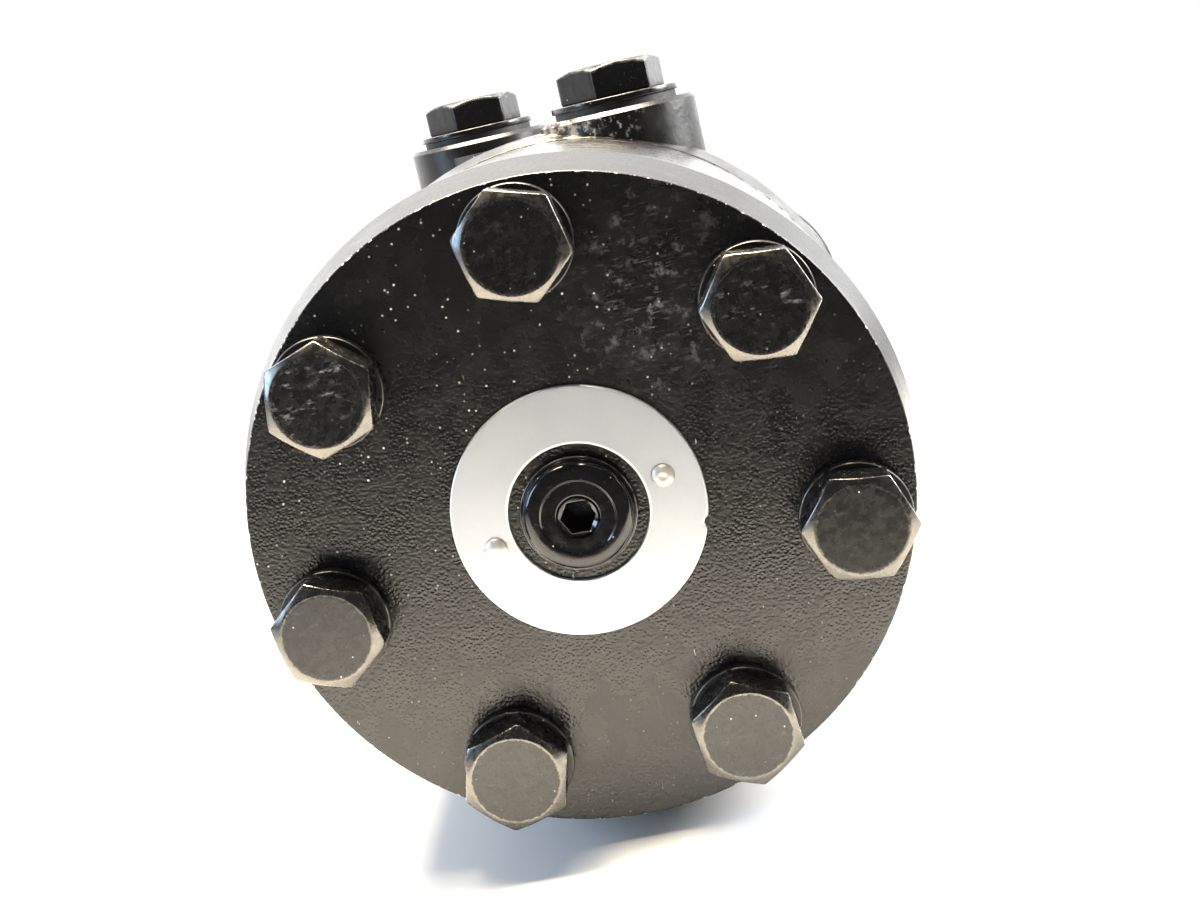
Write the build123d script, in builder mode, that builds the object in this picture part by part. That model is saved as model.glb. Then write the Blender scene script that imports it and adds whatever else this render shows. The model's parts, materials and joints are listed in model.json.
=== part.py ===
from build123d import *
import os
from math import asin, atan2, cos, pi, radians, sin, sqrt, tan

# Orbital hydraulic motor. Lengths are in millimetres.
# The origin is the centre of the mounting face, the output shaft points along +Y, and both
# ports open towards +Z. A station is a distance behind the mounting face, so a point at
# station s has y = -s.

# Casing: round plates bolted behind a cast housing
STACK_R = 55.5
HOUSING_LENGTH = 147.0
WEAR_PLATE_WIDTH = 8.0
STATOR_WIDTH = 22.0
MANIFOLD_WIDTH = 10.0
COMMUTATOR_RING_WIDTH = 11.0
END_COVER_WIDTH = 18.0
COVER_BEVEL = (2.5, 9.2)
PLATE_CHAMFER = 0.3

WEAR_PLATE_AT = HOUSING_LENGTH
STATOR_AT = WEAR_PLATE_AT + WEAR_PLATE_WIDTH
MANIFOLD_AT = STATOR_AT + STATOR_WIDTH
COMMUTATOR_RING_AT = MANIFOLD_AT + MANIFOLD_WIDTH
END_COVER_AT = COMMUTATOR_RING_AT + COMMUTATOR_RING_WIDTH
COVER_FACE_AT = END_COVER_AT + END_COVER_WIDTH

# Seven M10 bolts through the stack
BOLT_COUNT = 7
BOLT_RING_R = 43.4
BOLT_FIRST_ANGLE = 90.0
BOLT_R = 5.0
BOLT_CORE_R = 4.2
BOLT_HOLE_R = 5.25
BOLT_TAPPED_R = 4.25
BOLT_TAPPED_DEPTH = 27.0
BOLT_ENGAGEMENT = 24.0
HEAD_ACROSS_FLATS = 16.0
HEAD_HEIGHT = 6.4
HEAD_TOP_R = 7.3
HEAD_TURNS = (-17, 20, -20, 16, -24, -8, -6)
WASHER_R = 9.0
WASHER_THICKNESS = 2.0

# Mounting flange with two ears, and its pilot
FLANGE_THICKNESS = 16.0
FLANGE_CENTRE_R = 50.0
EAR_X = 39.0
EAR_R = 26.0
MOUNT_HOLE_SPACING = 106.4
MOUNT_HOLE_R = 6.75
FLANGE_FRONT_CHAMFER = 0.8
FLANGE_CAST_RADIUS = 2.0
FLANGE_NECK_RADIUS = 4.0
PILOT_R = 41.275
PILOT_LENGTH = 6.4

# Cast body of the housing
REAR_RIM_R = 57.0
REAR_RIM_LENGTH = 25.0
REAR_FACE_R = 55.7
REAR_TAPER = 8.0
BODY_R = 51.0
NECK_R = 42.0
NECK_START_AT = 4.0
NECK_END_AT = 52.0
CAVITY_R = 31.0
CAVITY_AT = 36.0
BODY_SLOPE = 10.0
RIM_SLOPE = 7.0
# Cast radii of the outside, from the neck's hidden front end to the rear face
CAST_RADII = (0.8, 6.0, 5.0, 5.0, 3.0, 3.0, 0.3)

# Ports
PORT_A = (17.0, 131.0)
PORT_B = (-17.0, 85.0)
PORT_FACE_Z = 58.6
PORT_BOSS_R = 16.0
PORT_BOSS_BASE_Z = 10.0
PORT_WEB_R = 13.0
PORT_WEB_DROP = 3.0
PORT_TAPPED_R = 9.5
PORT_TAPPED_DEPTH = 15.0
PORT_DRILL_R = 6.0
PORT_DRILL_BOTTOM_Z = 20.0
PORT_FACE_CHAMFER = 0.8
PORT_PLUG_THREAD_R = 9.45
PORT_PLUG_THREAD = 12.0
PORT_PLUG_CHAMFER = 0.25
PORT_PLUG_TOP_R = 9.1
PORT_PLUG_COLLAR_R = 13.0
PORT_PLUG_COLLAR = 1.3
PORT_PLUG_AF = 19.0
PORT_PLUG_HEX = 6.5
PORT_PLUG_TURN = 14.0
PORT_SEAL_R = (10.4, 12.4)
PORT_SEAL_THICKNESS = 1.3

# Rotor set: seven rollers in the stator, six lobes on the rotor
ROLLER_COUNT = 7
ROLLER_RING_R = 34.0
ROLLER_R = 7.0
ROLLER_FIRST_ANGLE = 270.0
POCKET_CLEARANCE = 0.04
ECCENTRICITY = 3.16
ROTOR_CLEARANCE = 0.08
STATOR_BORE_R = 33.7
SIDE_CLEARANCE = 0.03
FIT_CLEARANCE = 0.05
POINTS_PER_LOBE = 14

# Drive link: tilted, splined at both ends, with a round nose in the commutator
LINK_PIVOT_AT = 92.0
LINK_TEETH = 12
LINK_TOOTH_WIDTHS = (3.2, 2.2)
LINK_ROOT_R = 10.9
LINK_TIP_R = 13.1
LINK_TIP_END_R = 12.5
LINK_SPLINE_HALF = 8.0
LINK_NECK_R = 9.0
LINK_NOSE_NECK_R = 6.3
LINK_NOSE_R = 7.93
LINK_NOSE_HALF = 4.3
SOCKET_TIP_R = 11.6
SOCKET_ROOT_R = 13.6
SOCKET_TOOTH_WIDTHS = (4.3, 3.3)
SOCKET_LENGTH = 20.0
LINK_RELIEF = 2.0
TURNING_ALLOWANCE = 0.2
LINK_HOLE_R = 14.5
MANIFOLD_HOLE_R = 13.5
MANIFOLD_FEED_RING_R = 28.5
MANIFOLD_FEED_R = 2.8

# Commutator: a round valve plate that is swung round by the nose of the link
COMMUTATOR_R = 31.4
COMMUTATOR_RING_BORE_R = 36.0
COMMUTATOR_BORE_R = 8.0
COMMUTATOR_GROOVE_R = (14.0, 22.0)
COMMUTATOR_GROOVE_DEPTH = 5.0
COMMUTATOR_SEAL_R = (26.6, 28.4)
COMMUTATOR_SEAL_WIDTH = 1.5
COMMUTATOR_SEAL_GAP = 0.1

# Output shaft
SHAFT_LENGTH = 57.0
SHAFT_SPLINE_TEETH = 14
SHAFT_SPLINE_TIP_R = 15.6
SHAFT_SPLINE_ROOT_R = 13.4
SHAFT_TOOTH_WIDTHS = (4.3, 2.4)
SHAFT_LEAD_IN = (1.6, 1.0, 2.6)
SHAFT_SPLINE_LENGTH = 33.0
SHAFT_SPLINE_RUNOUT = 3.0
SHAFT_CHAMFER = 1.0
SHAFT_LAND_LENGTH = 2.0
SHAFT_JOURNAL_R = 17.5
SHAFT_LAND_R = 19.0
SHAFT_COLLAR_R = 29.0
SHAFT_COLLAR_LENGTH = 7.0
SHAFT_BODY_R = 26.0
SHAFT_REAR_AT = 121.0
SHAFT_HOLLOW_R = 15.0
SHAFT_TAPPED_R = 4.25
SHAFT_TAPPED_DEPTH = 22.0

# Bearings and seals
NEEDLE_R = 1.75
NEEDLE_LENGTH = 14.0
RUNNING_GAP = 0.02
CUP_R_FRONT = 22.5
CUP_R_REAR = CAVITY_R
CUP_WIDTH = 20.0
CUP_LIP = 1.2
CUP_LIP_GAP = 0.7
CAGE_HALF_THICKNESS = 1.0
CAGE_END_GAP = 0.3
CAGE_WINDOW_GAP = 0.1
FRONT_CUP_AT = 13.0
REAR_CUP_AT = 92.0
FRONT_NEEDLES = 18
REAR_NEEDLES = 24
THRUST_NEEDLES = 20
THRUST_NEEDLE_R = 1.25
THRUST_NEEDLE_LENGTH = 6.5
THRUST_WASHER_WIDTH = 2.0
THRUST_INNER_R = 20.0
THRUST_GAP = 0.5
THRUST_WINDOW_GAP = 0.1
THRUST_WINDOW_SIDE_GAP = 0.08
SEAL_BORE_R = 25.0
SEAL_BORE_END_AT = 10.5
SEAL_INNER_R = 17.55
# Radius and station of each corner of the two lip seals
SHAFT_SEAL_OUTLINE = (
    (25.0, 1.0),
    (25.0, 9.0),
    (23.0, 9.0),
    (23.0, 3.2),
    (19.35, 3.2),
    (19.95, 8.0),
    (SEAL_INNER_R, 7.0),
    (18.15, 1.0),
)
DUST_SEAL_OUTLINE = (
    (25.0, -5.0),
    (25.0, 0.5),
    (20.0, 0.5),
    (20.0, -2.0),
    (SEAL_INNER_R, -5.8),
    (20.0, -5.8),
    (21.0, -5.0),
)
SEAL_WASHER_THICKNESS = 1.5
SEAL_WASHER_BORE_GAP = 0.5
BODY_SEAL_R = 51.2
BODY_SEAL_GROOVE = (2.4, 1.5)
BODY_SEAL_SECTION = (2.2, 1.46)
BODY_SEAL_CHAMFER = 0.3

# Nameplate ring, its rivets, and the drain plug at the centre of the cover
PLATE_R = (11.15, 20.4)
PLATE_THICKNESS = 0.8
RIVET_RING_R = 14.5
RIVET_ANGLE = 12.5
RIVET_HEAD_R = 1.85
RIVET_HEAD_HEIGHT = 1.1
RIVET_R = 1.2
RIVET_EDGE = 0.2
RIVET_SHANK = 4.5
RIVET_HOLE_DEPTH = 5.0
DRAIN_COLLAR_R = 9.35
DRAIN_DOME_R = 8.85
DRAIN_COLLAR_HEIGHT = 1.5
DRAIN_HEIGHT = 3.8
DRAIN_DISH_R = 5.8
DRAIN_DISH_DEPTH = 0.25
DRAIN_SOCKET_AF = 5.0
DRAIN_SOCKET_DEPTH = 5.5
DRAIN_THREAD_R = 6.2
DRAIN_TAPPED_R = 6.25
DRAIN_THREAD_LENGTH = 11.0
DRAIN_SEAT = (8.4, 1.9)
DRAIN_DRILL_R = 4.0
DRAIN_HOLE_RUNOUT = 1.0
DRAIN_EDGE_RADIUS = 2.0
DRAIN_COLLAR_CHAMFER = 0.4
DRAIN_DISH_SLOPE = 0.3
DRAIN_SOCKET_TURN = -2.0
DRAIN_COUNTERSINK_R = (3.4, 3.1, 2.5)
DRAIN_COUNTERSINK_DEPTH = 0.5
DRAIN_SEAL_SECTION_R = 0.9
DRAIN_SEAL_DEPTH = 0.95

os.makedirs("parts", exist_ok=True)


def station(distance, turn=0.0, centre_z=0.0):
    """A plane across the axis: its normal points rearwards, local x is +X and local y is +Z,
    both turned by an angle in degrees from +X towards +Z."""
    x_dir = (cos(radians(turn)), 0, sin(radians(turn)))
    return Plane(origin=(0, -distance, centre_z), x_dir=x_dir, z_dir=(0, -1, 0))


def turned(points):
    """A closed outline of (radius, station) points, to be revolved about the Y axis."""
    with BuildSketch() as outline:
        with BuildLine():
            Polyline(*[(radius, -at) for radius, at in points], close=True)
        make_face()
    return outline.sketch


def spline_profile(count, root_r, tip_r, root_width, tip_width):
    """A toothed round section, the teeth tapering from root_width to tip_width."""
    inner = root_r - 1
    with BuildSketch() as profile:
        with PolarLocations(0, count):
            with BuildLine():
                Polyline(
                    (inner, -root_width / 2),
                    (tip_r + 1, -tip_width / 2),
                    (tip_r + 1, tip_width / 2),
                    (inner, root_width / 2),
                    close=True,
                )
            make_face()
        Circle(tip_r, mode=Mode.INTERSECT)
        Circle(root_r)
    return profile.sketch


def finish(builder, name):
    """Name a finished piece and write it."""
    builder.part.label = name
    export_step(builder.part, f"parts/{name}.step")


def bolt_ring():
    """The seven bolt positions on a station plane."""
    return PolarLocations(BOLT_RING_R, BOLT_COUNT, BOLT_FIRST_ANGLE)


def seal_groove(front_at):
    """A ring groove for a body seal, from front_at rearwards."""
    width, depth = BODY_SEAL_GROOVE
    inner, outer = BODY_SEAL_R - width / 2, BODY_SEAL_R + width / 2
    rear_at = front_at + depth
    return turned([(inner, front_at), (outer, front_at), (outer, rear_at), (inner, rear_at)])


# ---- Rotor set --------------------------------------------------------------------------


def rotor_outline():
    """Points of the six-lobed outline, a constant distance inside the path that the rollers'
    centres take as seen from the rotor."""
    reach = ROLLER_R + ROTOR_CLEARANCE
    lobes = ROLLER_COUNT - 1
    points = []
    for step in range(lobes * POINTS_PER_LOBE):
        turn = 2 * pi * step / (lobes * POINTS_PER_LOBE)
        x = ROLLER_RING_R * cos(turn) - ECCENTRICITY * cos(ROLLER_COUNT * turn)
        y = ROLLER_RING_R * sin(turn) - ECCENTRICITY * sin(ROLLER_COUNT * turn)
        dx = -ROLLER_RING_R * sin(turn) + ROLLER_COUNT * ECCENTRICITY * sin(ROLLER_COUNT * turn)
        dy = ROLLER_RING_R * cos(turn) - ROLLER_COUNT * ECCENTRICITY * cos(ROLLER_COUNT * turn)
        speed = sqrt(dx * dx + dy * dy)
        points.append((x - reach * dy / speed, y + reach * dx / speed))
    return points


SOCKET = (LINK_TEETH, SOCKET_TIP_R, SOCKET_ROOT_R, *SOCKET_TOOTH_WIDTHS)

ROTOR_AT = STATOR_AT + SIDE_CLEARANCE
ROTATING_WIDTH = STATOR_WIDTH - 2 * SIDE_CLEARANCE

# At rest the rotor is displaced straight down, with the lowest roller in one of its valleys.
with BuildPart() as rotor:
    with BuildSketch(station(ROTOR_AT, ROLLER_FIRST_ANGLE, -ECCENTRICITY)):
        with BuildLine():
            Spline(*rotor_outline(), periodic=True)
        make_face()
    extrude(amount=ROTATING_WIDTH)
    with BuildSketch(station(ROTOR_AT, 0, -ECCENTRICITY)):
        add(spline_profile(*SOCKET))
    extrude(amount=ROTATING_WIDTH, mode=Mode.SUBTRACT)
finish(rotor, "rotor")


def roller(number):
    """One of the seven rollers that the rotor rolls on."""
    angle = radians(ROLLER_FIRST_ANGLE + number * 360 / ROLLER_COUNT)
    centre = (ROLLER_RING_R * cos(angle), ROLLER_RING_R * sin(angle))
    with BuildPart() as pin:
        with BuildSketch(station(ROTOR_AT)):
            with Locations(centre):
                Circle(ROLLER_R)
        extrude(amount=ROTATING_WIDTH)
        chamfer(pin.edges().filter_by(GeomType.CIRCLE), PLATE_CHAMFER)
    return pin


for number in range(ROLLER_COUNT):
    finish(roller(number), f"roller_{number + 1}")

with BuildPart() as stator_ring:
    with BuildSketch(station(STATOR_AT)):
        Circle(STACK_R)
        Circle(STATOR_BORE_R, mode=Mode.SUBTRACT)
        with PolarLocations(ROLLER_RING_R, ROLLER_COUNT, ROLLER_FIRST_ANGLE):
            Circle(ROLLER_R + POCKET_CLEARANCE, mode=Mode.SUBTRACT)
        with bolt_ring():
            Circle(BOLT_HOLE_R, mode=Mode.SUBTRACT)
    extrude(amount=STATOR_WIDTH)
    rims = stator_ring.edges().filter_by(GeomType.CIRCLE)
    chamfer(rims.filter_by(lambda edge: edge.radius > STACK_R - 1), PLATE_CHAMFER)
finish(stator_ring, "stator_ring")


# ---- Plates of the stack ----------------------------------------------------------------


def round_plate(front_at, width, hole_r):
    """A round plate of the stack with its bolt holes and chamfered rims."""
    with BuildPart() as plate:
        with BuildSketch(station(front_at)):
            Circle(STACK_R)
            Circle(hole_r, mode=Mode.SUBTRACT)
            with bolt_ring():
                Circle(BOLT_HOLE_R, mode=Mode.SUBTRACT)
        extrude(amount=width)
        rims = plate.edges().filter_by(GeomType.CIRCLE)
        chamfer(rims.filter_by(lambda edge: edge.radius > STACK_R - 1), PLATE_CHAMFER)
    return plate.part


with BuildPart() as wear_plate:
    add(round_plate(WEAR_PLATE_AT, WEAR_PLATE_WIDTH, LINK_HOLE_R))
    revolve(seal_groove(STATOR_AT - BODY_SEAL_GROOVE[1]), axis=Axis.Y, mode=Mode.SUBTRACT)
finish(wear_plate, "wear_plate")

with BuildPart() as manifold:
    add(round_plate(MANIFOLD_AT, MANIFOLD_WIDTH, MANIFOLD_HOLE_R))
    # One feed hole for each chamber between two rollers
    with BuildSketch(station(MANIFOLD_AT)):
        with PolarLocations(MANIFOLD_FEED_RING_R, ROLLER_COUNT, BOLT_FIRST_ANGLE):
            Circle(MANIFOLD_FEED_R)
    extrude(amount=MANIFOLD_WIDTH, mode=Mode.SUBTRACT)
    revolve(seal_groove(MANIFOLD_AT), axis=Axis.Y, mode=Mode.SUBTRACT)
    rear_groove = seal_groove(COMMUTATOR_RING_AT - BODY_SEAL_GROOVE[1])
    revolve(rear_groove, axis=Axis.Y, mode=Mode.SUBTRACT)
finish(manifold, "manifold")

with BuildPart() as commutator_ring:
    add(round_plate(COMMUTATOR_RING_AT, COMMUTATOR_RING_WIDTH, COMMUTATOR_RING_BORE_R))
finish(commutator_ring, "commutator_ring")

with BuildPart() as end_cover:
    bevel_in, bevel_back = COVER_BEVEL
    blank = [
        (0, END_COVER_AT),
        (STACK_R - PLATE_CHAMFER, END_COVER_AT),
        (STACK_R, END_COVER_AT + PLATE_CHAMFER),
        (STACK_R, COVER_FACE_AT - bevel_back),
        (STACK_R - bevel_in, COVER_FACE_AT),
        (0, COVER_FACE_AT),
    ]
    revolve(turned(blank), axis=Axis.Y)
    revolve(seal_groove(END_COVER_AT), axis=Axis.Y, mode=Mode.SUBTRACT)
    with BuildSketch(station(END_COVER_AT)):
        with bolt_ring():
            Circle(BOLT_HOLE_R)
        Circle(DRAIN_DRILL_R)
    extrude(amount=END_COVER_WIDTH, mode=Mode.SUBTRACT)
    with BuildSketch(station(COVER_FACE_AT)):
        Circle(DRAIN_TAPPED_R)
    extrude(amount=-(DRAIN_THREAD_LENGTH + DRAIN_HOLE_RUNOUT), mode=Mode.SUBTRACT)
    with BuildSketch(station(COVER_FACE_AT)):
        Circle(DRAIN_SEAT[0])
    extrude(amount=-DRAIN_SEAT[1], mode=Mode.SUBTRACT)
    with BuildSketch(station(COVER_FACE_AT)):
        with PolarLocations(RIVET_RING_R, 2, RIVET_ANGLE):
            Circle(RIVET_R + FIT_CLEARANCE)
    extrude(amount=-RIVET_HOLE_DEPTH, mode=Mode.SUBTRACT)
finish(end_cover, "end_cover")

with BuildPart() as body_seals:
    seal_width, seal_depth = BODY_SEAL_SECTION
    groove_depth = BODY_SEAL_GROOVE[1]
    front_of_groove = (
        HOUSING_LENGTH - groove_depth,
        STATOR_AT - groove_depth,
        MANIFOLD_AT,
        COMMUTATOR_RING_AT - groove_depth,
        END_COVER_AT,
    )
    for groove_at in front_of_groove:
        with BuildSketch(Plane.XY) as seal_section:
            with Locations((BODY_SEAL_R, -(groove_at + groove_depth / 2))):
                Rectangle(seal_width, seal_depth)
            chamfer(seal_section.vertices(), BODY_SEAL_CHAMFER)
        revolve(axis=Axis.Y)
finish(body_seals, "body_seals")


# ---- Commutator -------------------------------------------------------------------------

# The link's axis leaves the main axis at the pivot and passes through the rotor's centre.
NOSE_AT = COMMUTATOR_RING_AT + COMMUTATOR_RING_WIDTH / 2
ROTOR_CENTRE_AT = STATOR_AT + STATOR_WIDTH / 2
LINK_TILT = atan2(ECCENTRICITY, ROTOR_CENTRE_AT - LINK_PIVOT_AT)
COMMUTATOR_OFFSET = (NOSE_AT - LINK_PIVOT_AT) * tan(LINK_TILT)


def commutator_plane(distance):
    """A plane across the axis, centred on the displaced commutator."""
    return station(distance, 0, -COMMUTATOR_OFFSET)


commutator_front = COMMUTATOR_RING_AT + SIDE_CLEARANCE
commutator_rear = END_COVER_AT - SIDE_CLEARANCE

with BuildPart() as commutator:
    with BuildSketch(commutator_plane(commutator_front)):
        Circle(COMMUTATOR_R)
        Circle(COMMUTATOR_BORE_R, mode=Mode.SUBTRACT)
    extrude(amount=commutator_rear - commutator_front)
    chamfer(commutator.edges().filter_by(GeomType.CIRCLE), PLATE_CHAMFER)
    with BuildSketch(commutator_plane(commutator_front)):
        Circle(COMMUTATOR_GROOVE_R[1])
        Circle(COMMUTATOR_GROOVE_R[0], mode=Mode.SUBTRACT)
    extrude(amount=COMMUTATOR_GROOVE_DEPTH, mode=Mode.SUBTRACT)
    with BuildSketch(commutator_plane(commutator_rear)):
        Circle(COMMUTATOR_SEAL_R[1] + COMMUTATOR_SEAL_GAP)
        Circle(COMMUTATOR_SEAL_R[0] - COMMUTATOR_SEAL_GAP, mode=Mode.SUBTRACT)
    extrude(amount=-(COMMUTATOR_SEAL_WIDTH + COMMUTATOR_SEAL_GAP), mode=Mode.SUBTRACT)
finish(commutator, "commutator")

seal_front = commutator_rear - COMMUTATOR_SEAL_WIDTH - FIT_CLEARANCE

with BuildPart() as commutator_seal:
    with BuildSketch(commutator_plane(seal_front)):
        Circle(COMMUTATOR_SEAL_R[1])
        Circle(COMMUTATOR_SEAL_R[0], mode=Mode.SUBTRACT)
    extrude(amount=COMMUTATOR_SEAL_WIDTH)
finish(commutator_seal, "commutator_seal")


# ---- Drive link -------------------------------------------------------------------------

link_pivot = Vector(0, -LINK_PIVOT_AT, 0)
link_rearwards = Vector(0, -cos(LINK_TILT), -sin(LINK_TILT))
link_plane = Plane(origin=link_pivot, x_dir=(1, 0, 0), z_dir=link_rearwards)
link_section = Plane(
    origin=link_pivot, x_dir=(1, 0, 0), z_dir=Vector(1, 0, 0).cross(link_rearwards)
)
link_axis = Axis(link_pivot, link_rearwards)
ROTOR_ALONG_LINK = (ROTOR_CENTRE_AT - LINK_PIVOT_AT) / cos(LINK_TILT)
NOSE_ALONG_LINK = (NOSE_AT - LINK_PIVOT_AT) / cos(LINK_TILT)
LINK_BLANK_R = LINK_TIP_R + TURNING_ALLOWANCE
NOSE_END_R = sqrt(LINK_NOSE_R**2 - LINK_NOSE_HALF**2)

with BuildPart() as drive_link:
    for spline_centre in (0, ROTOR_ALONG_LINK):
        with BuildSketch(link_plane.offset(spline_centre - LINK_SPLINE_HALF)):
            add(spline_profile(LINK_TEETH, LINK_ROOT_R, LINK_BLANK_R, *LINK_TOOTH_WIDTHS))
        extrude(amount=2 * LINK_SPLINE_HALF)
    with BuildSketch(link_plane):
        Circle(LINK_NECK_R)
    extrude(amount=ROTOR_ALONG_LINK)
    with BuildSketch(link_plane.offset(ROTOR_ALONG_LINK)):
        Circle(LINK_NOSE_R + TURNING_ALLOWANCE)
    extrude(amount=NOSE_ALONG_LINK + LINK_NOSE_HALF - ROTOR_ALONG_LINK)
    # Both splines are crowned and the nose is a ball, so that the tilted link can roll round
    with BuildSketch(link_section):
        with BuildLine():
            front_end = -LINK_SPLINE_HALF
            front_back = LINK_SPLINE_HALF
            rear_end = ROTOR_ALONG_LINK - LINK_SPLINE_HALF
            rear_back = ROTOR_ALONG_LINK + LINK_SPLINE_HALF
            nose_front = NOSE_ALONG_LINK - LINK_NOSE_HALF
            nose_back = NOSE_ALONG_LINK + LINK_NOSE_HALF
            Line((0, front_end), (LINK_TIP_END_R, front_end))
            ThreePointArc(
                (LINK_TIP_END_R, front_end), (LINK_TIP_R, 0), (LINK_TIP_END_R, front_back)
            )
            Polyline(
                (LINK_TIP_END_R, front_back),
                (LINK_NECK_R, front_back + LINK_RELIEF),
                (LINK_NECK_R, rear_end - LINK_RELIEF),
                (LINK_TIP_END_R, rear_end),
            )
            ThreePointArc(
                (LINK_TIP_END_R, rear_end),
                (LINK_TIP_R, ROTOR_ALONG_LINK),
                (LINK_TIP_END_R, rear_back),
            )
            Polyline(
                (LINK_TIP_END_R, rear_back),
                (LINK_NOSE_NECK_R, rear_back),
                (LINK_NOSE_NECK_R, nose_front),
                (NOSE_END_R, nose_front),
            )
            ThreePointArc(
                (NOSE_END_R, nose_front),
                (LINK_NOSE_R, NOSE_ALONG_LINK),
                (NOSE_END_R, nose_back),
            )
            Polyline((NOSE_END_R, nose_back), (0, nose_back), (0, front_end))
        make_face()
    revolve(axis=link_axis, mode=Mode.INTERSECT)
finish(drive_link, "drive_link")


# ---- Output shaft -----------------------------------------------------------------------

SHAFT_END_AT = -SHAFT_LENGTH
SPLINE_END_AT = SHAFT_END_AT + SHAFT_SPLINE_LENGTH
JOURNAL_AT = SPLINE_END_AT + SHAFT_SPLINE_RUNOUT
THRUST_AT = CAVITY_AT + THRUST_WASHER_WIDTH + RUNNING_GAP
COLLAR_AT = THRUST_AT + 2 * THRUST_NEEDLE_R + RUNNING_GAP
SOCKET_AT = LINK_PIVOT_AT - SOCKET_LENGTH / 2

with BuildPart() as output_shaft:
    shaft_outline = [
        (0, SHAFT_END_AT),
        (SHAFT_SPLINE_ROOT_R, SHAFT_END_AT),
        (SHAFT_SPLINE_ROOT_R, JOURNAL_AT),
        (SHAFT_JOURNAL_R - SHAFT_CHAMFER, JOURNAL_AT),
        (SHAFT_JOURNAL_R, JOURNAL_AT + SHAFT_CHAMFER),
        (SHAFT_JOURNAL_R, CAVITY_AT - SHAFT_LAND_LENGTH),
        (SHAFT_LAND_R, CAVITY_AT - SHAFT_LAND_LENGTH),
        (SHAFT_LAND_R, COLLAR_AT),
        (SHAFT_COLLAR_R, COLLAR_AT),
        (SHAFT_COLLAR_R, COLLAR_AT + SHAFT_COLLAR_LENGTH),
        (SHAFT_BODY_R, COLLAR_AT + SHAFT_COLLAR_LENGTH),
        (SHAFT_BODY_R, SHAFT_REAR_AT - SHAFT_CHAMFER),
        (SHAFT_BODY_R - SHAFT_CHAMFER, SHAFT_REAR_AT),
        (0, SHAFT_REAR_AT),
    ]
    revolve(turned(shaft_outline), axis=Axis.Y)
    with BuildSketch(station(SHAFT_END_AT)):
        add(
            spline_profile(
                SHAFT_SPLINE_TEETH, SHAFT_SPLINE_ROOT_R, SHAFT_SPLINE_TIP_R, *SHAFT_TOOTH_WIDTHS
            )
        )
    extrude(amount=SHAFT_SPLINE_LENGTH)
    # Lead-in on the ends of the teeth
    lead_depth, lead_margin, lead_length = SHAFT_LEAD_IN
    lead_in = [
        (SHAFT_SPLINE_TIP_R - lead_depth, SHAFT_END_AT),
        (SHAFT_SPLINE_TIP_R + lead_margin, SHAFT_END_AT),
        (SHAFT_SPLINE_TIP_R + lead_margin, SHAFT_END_AT + lead_length),
    ]
    revolve(turned(lead_in), axis=Axis.Y, mode=Mode.SUBTRACT)
    with BuildSketch(station(SHAFT_END_AT)):
        Circle(SHAFT_TAPPED_R)
    extrude(amount=SHAFT_TAPPED_DEPTH, mode=Mode.SUBTRACT)
    with BuildSketch(station(SOCKET_AT)):
        add(spline_profile(*SOCKET))
    extrude(amount=SOCKET_LENGTH, mode=Mode.SUBTRACT)
    with BuildSketch(station(SOCKET_AT + SOCKET_LENGTH)):
        Circle(SHAFT_HOLLOW_R)
    extrude(amount=SHAFT_REAR_AT - SOCKET_AT - SOCKET_LENGTH, mode=Mode.SUBTRACT)
finish(output_shaft, "output_shaft")


# ---- Bearings ---------------------------------------------------------------------------


def needle_cup(front_at, shaft_r, cup_r):
    """A drawn steel cup with inturned lips."""
    track_r = shaft_r + 2 * (NEEDLE_R + RUNNING_GAP)
    lip_r = shaft_r + CUP_LIP_GAP
    rear_at = front_at + CUP_WIDTH
    outline = [
        (lip_r, front_at),
        (cup_r, front_at),
        (cup_r, rear_at),
        (lip_r, rear_at),
        (lip_r, rear_at - CUP_LIP),
        (track_r, rear_at - CUP_LIP),
        (track_r, front_at + CUP_LIP),
        (lip_r, front_at + CUP_LIP),
    ]
    with BuildPart() as cup:
        revolve(turned(outline), axis=Axis.Y)
    return cup


def needle_row(front_at, shaft_r, count):
    """The needles of a radial bearing, as separate solids."""
    first_end = front_at + (CUP_WIDTH - NEEDLE_LENGTH) / 2
    with BuildPart() as needles:
        with BuildSketch(station(first_end)):
            with PolarLocations(shaft_r + RUNNING_GAP + NEEDLE_R, count):
                Circle(NEEDLE_R)
        extrude(amount=NEEDLE_LENGTH)
    return needles


def needle_cage(front_at, shaft_r, count):
    """The ring that spaces the needles, with a window for each."""
    pitch_r = shaft_r + RUNNING_GAP + NEEDLE_R
    cage_length = CUP_WIDTH - 2 * (CUP_LIP + CAGE_END_GAP)
    window_length = NEEDLE_LENGTH + 2 * CAGE_WINDOW_GAP
    middle = front_at + CUP_WIDTH / 2
    with BuildPart() as cage:
        with BuildSketch(station(middle - cage_length / 2)):
            Circle(pitch_r + CAGE_HALF_THICKNESS)
            Circle(pitch_r - CAGE_HALF_THICKNESS, mode=Mode.SUBTRACT)
        extrude(amount=cage_length)
        with BuildSketch(station(middle - window_length / 2)):
            with PolarLocations(pitch_r, count):
                Circle(NEEDLE_R + CAGE_WINDOW_GAP)
        extrude(amount=window_length, mode=Mode.SUBTRACT)
    return cage


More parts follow.
